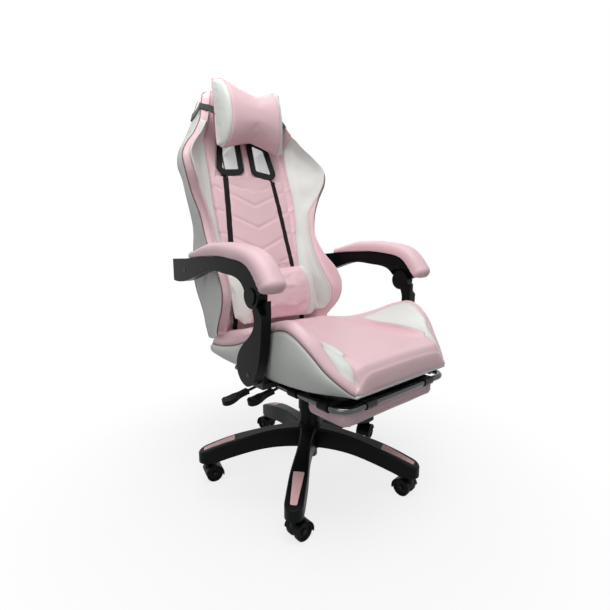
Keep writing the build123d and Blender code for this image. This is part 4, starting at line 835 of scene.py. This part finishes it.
def make_pillow(name, node, place, lean, half_x, high, corner, aside, low, thick, end_thick, shoulder, bend, lens):
    """Two leather panels sewn round the rim, waisted, with drawn-out corners and white ends."""
    p = sizes("chair_pillows")
    count_x, count_z = 101, 65
    pattern = (half_x, high, corner, aside, low)
    turn = np.array(Matrix.Rotation(lean, 3, "X"))

    def placed(points):
        return to_room(points @ turn.T + np.array(place))

    uu, vv = np.meshgrid(spread(count_x), spread(count_z), indexing="ij")
    x, z = pillow_rim(*pattern, uu, vv)
    full = np.maximum(1 - np.abs(vv) ** 2.2, 0) ** 0.6
    swell = 1 - np.maximum(1 - (1 - np.abs(uu)) / shoulder, 0) ** 1.7
    rim = np.maximum(1 - np.abs(uu) ** 12, 0) ** 0.5
    deep = [(end_thick + (t - end_thick) * swell) * full * rim for t in thick]
    waist = bend * uu ** 2
    bm = bmesh.new()
    mark = bm.verts.layers.float.new("held")
    layers = [[[bm.verts.new((x[i, j], y[i, j], z[i, j])) for j in range(count_z)] for i in range(count_x)]
              for y in (-deep[0] - waist, deep[1] - waist)]
    for layer, way in zip(layers, (1, -1)):
        for i in range(count_x - 1):
            for j in range(count_z - 1):
                quad = [layer[i][j], layer[i + 1][j], layer[i + 1][j + 1], layer[i][j + 1]]
                bm.faces.new(quad[::way])
        for vert in layer[0] + layer[-1] + [row[k] for row in layer for k in (0, -1)]:
            vert[mark] = 1.0
    bmesh.ops.remove_doubles(bm, verts=bm.verts, dist=0.0003)
    bmesh.ops.recalc_face_normals(bm, faces=bm.faces)
    obj = add_built(name, bm)
    mesh = obj.data
    co = places_of(mesh).astype(float)
    reach = half_x - (lens[1] + (lens[0] - lens[1]) * np.maximum(1 - (co[:, 2] / high[1]) ** 2, 0))
    white = np.abs(co[:, 0]) - reach
    write_fields(obj, white=white, run=co[:, 2])
    held = np.zeros(len(co), np.float32)
    mesh.attributes["held"].data.foreach_get("value", held)
    settle(obj, (held > 0.5) | (np.abs(white) < 0.0016), p.pressure, p.frames)
    mesh.attributes.remove(mesh.attributes["held"])
    normals = np.array([vert.normal for vert in mesh.vertices])
    co = places_of(mesh).astype(float) + normals * groove(white, 0.005, 0.0022)[:, None]
    mesh.vertices.foreach_set("co", placed(co).astype(np.float32).ravel())
    mesh.update()
    outward(obj)
    upholster(obj, leather(name + "_leather", zones=True), "back", 0.75, node)
    across, up = np.linspace(-1, 1, 60), np.linspace(-1, 1, 40)
    around_u = np.concatenate([across, np.full(40, 1.0), across[::-1], np.full(40, -1.0)])
    around_v = np.concatenate([np.full(60, -1.0), up, np.full(60, 1.0), up[::-1]])
    x, z = pillow_rim(*pattern, around_u, around_v)
    rim = np.stack([x, -bend * around_u ** 2, z], axis=1)
    add_cord(name + "_welt", placed(rim), 0.0015, "back", welt=True)


def strap_line(height):
    """Way of the band, from the pillow's left end up round the back and down to its right end."""
    p = sizes("chair_pillows")
    place = np.arange(BACK.edge + 1)
    levels = height + p.strap_rise * (1 - np.clip((place - BACK.corner + 2) / 32, 0, 1) ** 1.4)
    ring = np.array([back_half_ring(level)[i] for i, level in enumerate(levels)])
    along = np.gradient(ring, axis=0)
    along /= np.linalg.norm(along, axis=1, keepdims=True)
    ring = ring + np.stack([-along[:, 1], along[:, 0]], axis=1) * 0.0030
    end = np.array([0.120, -p.head_out - (height - p.head_height) * math.sin(p.head_lean)])
    on = np.linspace(0, 1, 9)[1:]
    tail = ring[-1] + np.outer(on, end - ring[-1])
    drop = levels[-1] + (height - levels[-1]) * on
    half = np.column_stack([np.concatenate([ring, tail]), np.concatenate([levels, drop])])
    return np.concatenate([half[:0:-1] * np.array([-1, 1, 1]), half])


def stretch(obj, thickness, material, body, node):
    """Makes a surface the thin elastic sheet that stands for a solid of a body."""
    modify(obj, "SOLIDIFY", thickness=thickness, offset=0.0)
    bpy.ops.object.shade_smooth_by_angle(angle=math.radians(40))
    obj.data.materials.append(material)
    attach(obj, body)
    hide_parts(node)


def make_strap():
    p = sizes("chair_pillows")
    grid = np.array([strap_line(height) for height in p.strap_at + np.linspace(-0.5, 0.5, 7) * p.strap_width])
    stretch(grid_mesh("pillow_band", to_room(grid), ring=False), 0.0016,
            woven("band_elastic", (0.010, 0.010, 0.0105)), "back", "head_strap")


def make_webbing():
    """Elastic bands across the seat frame, each drawn tight with a slight sag."""
    low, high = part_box("seat_webbing")
    count, width, sag = 5, 0.052, 0.004
    reach = (high[0] - low[0]) / 2
    bm = bmesh.new()
    for index in range(count):
        y = low[1] + width / 2 + index * (high[1] - low[1] - width) / (count - 1)
        points = [[bm.verts.new((a, y + b, high[2] - 0.0012 - sag * (1 - (a / reach) ** 2)))
                   for b in np.linspace(-width / 2, width / 2, 7)] for a in np.linspace(-reach, reach, 31)]
        for one, other in zip(points, points[1:]):
            for j in range(6):
                bm.faces.new([one[j], other[j], other[j + 1], one[j + 1]])
    stretch(add_built("seat_bands", bm), 0.0018, woven("seat_elastic", (0.024, 0.024, 0.025), 700.0),
            "seat", "seat_webbing")


def run_along(pts):
    return np.concatenate([[0], np.cumsum(np.linalg.norm(np.diff(pts, axis=0), axis=1))])


def crest_line(count, start, end):
    """Places along the arm's upper line, from its rear end to the nose."""
    pts = np.array(ARM_CREST) + np.array(ARM_PIVOT)
    run = run_along(pts)
    at = np.linspace(start, run[-1] - end, count)
    return np.stack([smooth_line(list(zip(run, pts[:, k])), at) for k in (0, 1)], axis=1), at


def make_arm_pad(side, sign, finish):
    """Padded top of an arm: thin at the rear, full along the arch, rounded over the nose."""
    count, around, rear, front = 96, 56, 7, 9
    line, run = crest_line(count, 0.062, 0.004)
    along = np.gradient(line, axis=0)
    along /= np.linalg.norm(along, axis=1, keepdims=True)
    up = np.stack([along[:, 1], -along[:, 0]], axis=1)
    theta = np.linspace(0, 2 * math.pi, around, endpoint=False)
    c, sn = np.cos(theta), np.sin(theta)
    wide = np.sign(c) * np.abs(c) ** 0.62
    tall = np.where(sn > 0, np.abs(sn) ** 0.72, -0.13 * np.abs(sn) ** 0.5)
    far = run - run[0]
    left = run[-1] - run
    high = 0.017 + 0.0145 * rise(far, 0.0, 0.12) + 0.0035 * rise(-left, -0.12, -0.02)
    half = 0.0300 + 0.0042 * rise(far, 0.0, 0.10)
    soft = rise(-left, -0.13, -0.02)

    def section(i, shrink, on):
        a = (wide + (c - wide) * soft[i]) * half[i] * (1 - 0.9 * (1 - shrink))
        b = high[i] * (0.35 + (tall - 0.35) * shrink)
        base = line[i] + along[i] * on
        return np.stack([sign * (ARM_MIDDLE + a), base[0] + up[i, 0] * b, base[1] + up[i, 1] * b], axis=1)

    rows = [section(0, shrink, -0.011 * on) for on, shrink in reversed(closing(rear))]
    rows += [section(i, 1.0, 0.0) for i in range(count)]
    rows += [section(count - 1, shrink, 0.019 * on) for on, shrink in closing(front)]
    grid = np.array(rows)
    normal = grid_normals(grid, grid.mean(axis=1, keepdims=True))
    nose = np.concatenate([np.zeros(rear), rise(-left, -0.075, -0.02), np.ones(front)])[:, None]
    place = np.concatenate([np.zeros(rear), run, run[-1] + 0.015 * np.linspace(0, 1, front)])[:, None]
    crease = np.sin(place * 420 + 3.2 * sn[None]) * nose * (c ** 2)[None]
    grid = grid + normal * (0.00045 * crease + 0.0004 * ripple(grid, 0.022, 0.7))[..., None]
    upholster(grid_mesh("arm_cushion_" + side, grid), finish, "arm_" + side, 0.9, "arm_pad_" + side)


def rounded_outline(half_x, half_y, corner, count):
    """Points evenly round a rounded rectangle."""
    pts = []
    for cx, cy, turn in ((1, 1, 0), (-1, 1, 1), (-1, -1, 2), (1, -1, 3)):
        for a in np.linspace(0, math.pi / 2, 13) + turn * math.pi / 2:
            pts.append((cx * (half_x - corner) + corner * math.cos(a),
                        cy * (half_y - corner) + corner * math.sin(a)))
    pts = np.array(pts + pts[:1])
    run = run_along(pts)
    at = np.linspace(0, run[-1], count, endpoint=False)
    return np.stack([np.interp(at, run, pts[:, k]) for k in (0, 1)], axis=1)


def make_footrest_pad():
    """Pad under the footrest's board: boxed edges with a welt, a crowned face and drawn-in corners."""
    low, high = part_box("footrest_pad")
    half_x, half_y = (high[0] - low[0]) / 2, (high[1] - low[1]) / 2
    middle = np.array([(high[0] + low[0]) / 2, (high[1] + low[1]) / 2])
    brow = low[2] + 0.0052
    rows = []
    count = 220

    def ring(inset, z, scale=1.0):
        flat = rounded_outline(half_x - inset, half_y - inset, max(0.026 - inset, 0.006), count) * scale
        rows.append(np.column_stack([flat + middle, np.full(count, z)]))

    for scale in (0.2, 0.6, 0.9):
        ring(0.008, high[2] - 0.0004, scale)
    ring(0.005, high[2] - 0.0004)
    for drop in np.linspace(0.0015, 1, 9):
        z = high[2] - 0.0012 - drop * (high[2] - brow - 0.016)
        ring(0.0016 - 0.0016 * math.sin(math.pi * drop), z)
    for a in np.linspace(0.12, math.pi / 2, 9):
        ring(0.0145 * (1 - math.cos(a)) + 0.0012, brow + 0.0145 * (1 - math.sin(a)))
    for scale in np.linspace(0.96, 0.04, 22):
        ring(0.0158, brow - 0.0050 * (1 - scale ** 2), scale)
    grid = np.array(rows)
    walk = np.linspace(0, 2 * math.pi, count, endpoint=False)[None]
    normal = grid_normals(grid, grid.mean(axis=(0, 1), keepdims=True))
    side = np.zeros(len(grid))
    side[4:24] = 1
    corner = np.abs(grid[..., 0] - middle[0]) / half_x * np.abs(grid[..., 1] - middle[1]) / half_y
    wave = 0.0009 * np.sin(walk * 61) * np.clip(corner * 1.5 - 0.5, 0, 1)
    grid = grid + normal * (wave * side[:, None] + 0.0006 * ripple(grid, 0.03, 2.0))[..., None]
    grid[..., 2] = np.minimum(grid[..., 2], high[2])
    upholster(grid_mesh("footrest_cushion", grid), leather("footrest_leather"), "footrest_flap", 0.85, "footrest_pad")
    add_cord("footrest_welt", grid[12], 0.0016, "footrest_flap", welt=True)


def lay_floor():
    """Floor that takes a soft shadow near the chair and is white to the camera further out."""
    bpy.ops.mesh.primitive_plane_add(size=40.0, location=(0, 0, -0.0005))
    floor = bpy.context.object
    floor.name = "floor"
    f = Finish("pale_floor")
    path = f.node("ShaderNodeLightPath").outputs
    f.surface(f.mix(path["Is Camera Ray"], (0.24, 0.24, 0.24), (0.86, 0.86, 0.86)), 0.9, Specular_IOR_Level=0.1)
    glow = f.node("ShaderNodeEmission", {"Color": (1, 1, 1, 1), "Strength": 1.0})
    far = f.node("ShaderNodeVectorMath", {0: f.where}, operation="LENGTH").outputs["Value"]
    clear = f.plus(0.80, f.times(f.step(far, 0.35, 1.0), 0.20))
    seen = f.times(f.math("MAXIMUM", path["Is Camera Ray"], path["Is Glossy Ray"]), clear)
    mix = f.node("ShaderNodeMixShader", {0: seen, 1: f.shader.outputs[0], 2: glow.outputs[0]})
    f.set(f.out.inputs[0], mix.outputs[0])
    floor.data.materials.append(f.material)


def light_room(scene):
    """Dim room whose walls are white to the camera and in mirror images."""
    scene.world = bpy.data.worlds.new("studio")
    scene.world.use_nodes = True
    w = Nodes(scene.world.node_tree)
    path = w.node("ShaderNodeLightPath").outputs
    dim = w.node("ShaderNodeBackground", {"Color": (0.93, 0.96, 1.0, 1), "Strength": 0.12})
    white = w.node("ShaderNodeBackground", {"Color": (1, 1, 1, 1), "Strength": 1.0})
    direct = w.math("MAXIMUM", path["Is Camera Ray"], path["Is Transmission Ray"])
    seen = w.math("MAXIMUM", direct, path["Is Glossy Ray"])
    mix = w.node("ShaderNodeMixShader", {0: seen, 1: dim.outputs[0], 2: white.outputs[0]})
    w.node("ShaderNodeOutputWorld", {0: mix.outputs[0]})


def add_lamp(name, place, target, size, power):
    aim = (Vector(target) - Vector(place)).to_track_quat("-Z", "Y").to_euler()
    data = configure(bpy.data.lights.new(name, "AREA"), shape="DISK", size=size, energy=power)
    add_object(name, data, location=place, rotation_euler=aim)


class CHAIR_OT_stage(bpy.types.Operator):
    """Floor, light and the camera at the chair's near front corner"""

    bl_idname = "chair.stage"
    bl_label = "Stage"

    def execute(self, context):
        s = sizes("chair_stage")
        scene = context.scene
        scene.view_settings.view_transform = "Standard"
        data = configure(bpy.data.cameras.new("camera"), lens=s.lens, sensor_width=36.0)
        scene.camera = add_object("camera", data, location=s.eye, rotation_euler=(math.pi / 2 - s.pitch, 0, -s.yaw))
        lay_floor()
        light_room(scene)
        add_lamp("key", (-0.4, -0.65, 3.0), (0, -0.05, 0.6), 1.7, 53)
        add_lamp("front", (0.9, -2.3, 1.7), (0, 0, 0.6), 1.8, 3.5)
        add_lamp("side", (-2.0, -1.3, 1.6), (0, 0, 0.65), 1.6, 14)
        add_lamp("rim", (0.6, 2.0, 2.3), (0, 0.1, 0.8), 1.4, 12)
        return {"FINISHED"}


class CHAIR_OT_finishes(bpy.types.Operator):
    """Plastics, metals and trims on the rigid pieces"""

    bl_idname = "chair.finishes"
    bl_label = "Finishes"

    def execute(self, context):
        c = sizes("chair_colours")
        nylon = tuple(c.nylon)
        dress(moulded("base_nylon", nylon), "base_star", "cover_lower", "cover_middle", "cover_upper", "column_sleeve",
              "footrest_guides")
        dress(moulded("castor_hood_nylon", nylon, 0.36, 1800.0, 0.1), "*_hood")
        dress(moulded("castor_wheel_nylon", shade(nylon, 1.3), 0.5, 900.0, 0.2, 3.0), "*_wheels")
        # the pale colour inside the strap ducts is painted light for the bright view through them
        dress(bezel_with_painted_light("bezel_plastic", shade(nylon, 0.9), (0.95, 0.95, 0.95)), "strap_bezels")
        dress(moulded("arm_plastic", shade(nylon, 1.05), 0.34, 1500.0, 0.12), "arm_leg*", "arm_beam*", "arm_pin*")
        dress(moulded("grip_plastic", shade(nylon, 1.1), 0.4, 700.0, 0.35), "*_grip")
        dress(moulded("inlay_plastic", tuple(c.inlay), 0.42, 1500.0, 0.1, 1.05), "leg_inlays")
        dress(moulded("board_plastic", shade(nylon, 1.4), 0.6, 500.0, 0.3), "footrest_board")
        dress(coated_metal("black_coat", (0.006, 0.006, 0.0065)), "column_tube", "seat_chassis", "seat_frame",
              "recliner_brackets", "arm_brackets", "back_frame", "*_lever_rod", "footrest_clips", "*_pins")
        dress(plated("chrome_plate", (0.085, 0.086, 0.09), 0.12), "footrest_tube")
        dress(plated("bright_steel", (0.58, 0.58, 0.60), 0.2), "piston_rod", "gas_cylinder", "thrust_bearing")
        return {"FINISHED"}


class CHAIR_OT_back_cover(bpy.types.Operator):
    """Leather cover of the winged back with its inserts, strips, sewn Vs and piping"""

    bl_idname = "chair.back_cover"
    bl_label = "Back cover"

    def execute(self, context):
        make_back_cover()
        return {"FINISHED"}


class CHAIR_OT_seat_cover(bpy.types.Operator):
    """Leather cover of the bucket seat with its inserts and piping"""

    bl_idname = "chair.seat_cover"
    bl_label = "Seat cover"

    def execute(self, context):
        make_seat_cover()
        return {"FINISHED"}


class CHAIR_OT_pillows(bpy.types.Operator):
    """Head pillow and lumbar pillow"""

    bl_idname = "chair.pillows"
    bl_label = "Pillows"

    def execute(self, context):
        p = sizes("chair_pillows")
        make_pillow("head_cushion", "head_pillow", (0.0, -p.head_out, p.head_height), p.head_lean, **HEAD_FORM)
        make_pillow("lumbar_cushion", "lumbar_pillow", (p.lumbar_across, -p.lumbar_out, p.lumbar_height), 0.0,
                    **LUMBAR_FORM)
        return {"FINISHED"}


class CHAIR_OT_bands(bpy.types.Operator):
    """Elastic band of the head pillow and the bands under the seat"""

    bl_idname = "chair.bands"
    bl_label = "Elastic bands"

    def execute(self, context):
        make_strap()
        make_webbing()
        return {"FINISHED"}


class CHAIR_OT_arm_pads(bpy.types.Operator):
    """Padded tops of the two arms"""

    bl_idname = "chair.arm_pads"
    bl_label = "Arm pads"

    def execute(self, context):
        finish = leather("arm_pad_leather")
        for side, sign in (("left", 1), ("right", -1)):
            make_arm_pad(side, sign, finish)
        return {"FINISHED"}


class CHAIR_OT_footrest_pad(bpy.types.Operator):
    """Pad of the slide-out footrest"""

    bl_idname = "chair.footrest_pad"
    bl_label = "Footrest pad"

    def execute(self, context):
        make_footrest_pad()
        return {"FINISHED"}


class CHAIR_PT_panel(bpy.types.Panel):
    """The chair's pieces"""

    bl_idname = "CHAIR_PT_panel"
    bl_label = "Desk chair"
    bl_space_type = "VIEW_3D"
    bl_region_type = "UI"
    bl_category = "Chair"

    def draw(self, context):
        for step in STEPS:
            self.layout.operator("chair." + step)


STEPS = ("stage", "finishes", "back_cover", "seat_cover", "pillows", "bands", "arm_pads", "footrest_pad")
GROUPS = (("chair_colours", ChairColours), ("chair_back", ChairBack), ("chair_pillows", ChairPillows),
          ("chair_stage", ChairStage))
CLASSES = (ChairColours, ChairBack, ChairPillows, ChairStage, CHAIR_OT_stage, CHAIR_OT_finishes, CHAIR_OT_back_cover,
           CHAIR_OT_seat_cover, CHAIR_OT_pillows, CHAIR_OT_bands, CHAIR_OT_arm_pads, CHAIR_OT_footrest_pad,
           CHAIR_PT_panel)


def register():
    for cls in CLASSES:
        bpy.utils.register_class(cls)
    for name, group in GROUPS:
        setattr(bpy.types.Scene, name, PointerProperty(type=group))


def unregister():
    for name, group in GROUPS:
        delattr(bpy.types.Scene, name)
    for cls in reversed(CLASSES):
        bpy.utils.unregister_class(cls)


def main():
    register()
    for step in STEPS:
        getattr(bpy.ops.chair, step)()


if __name__ == "__main__":
    main()
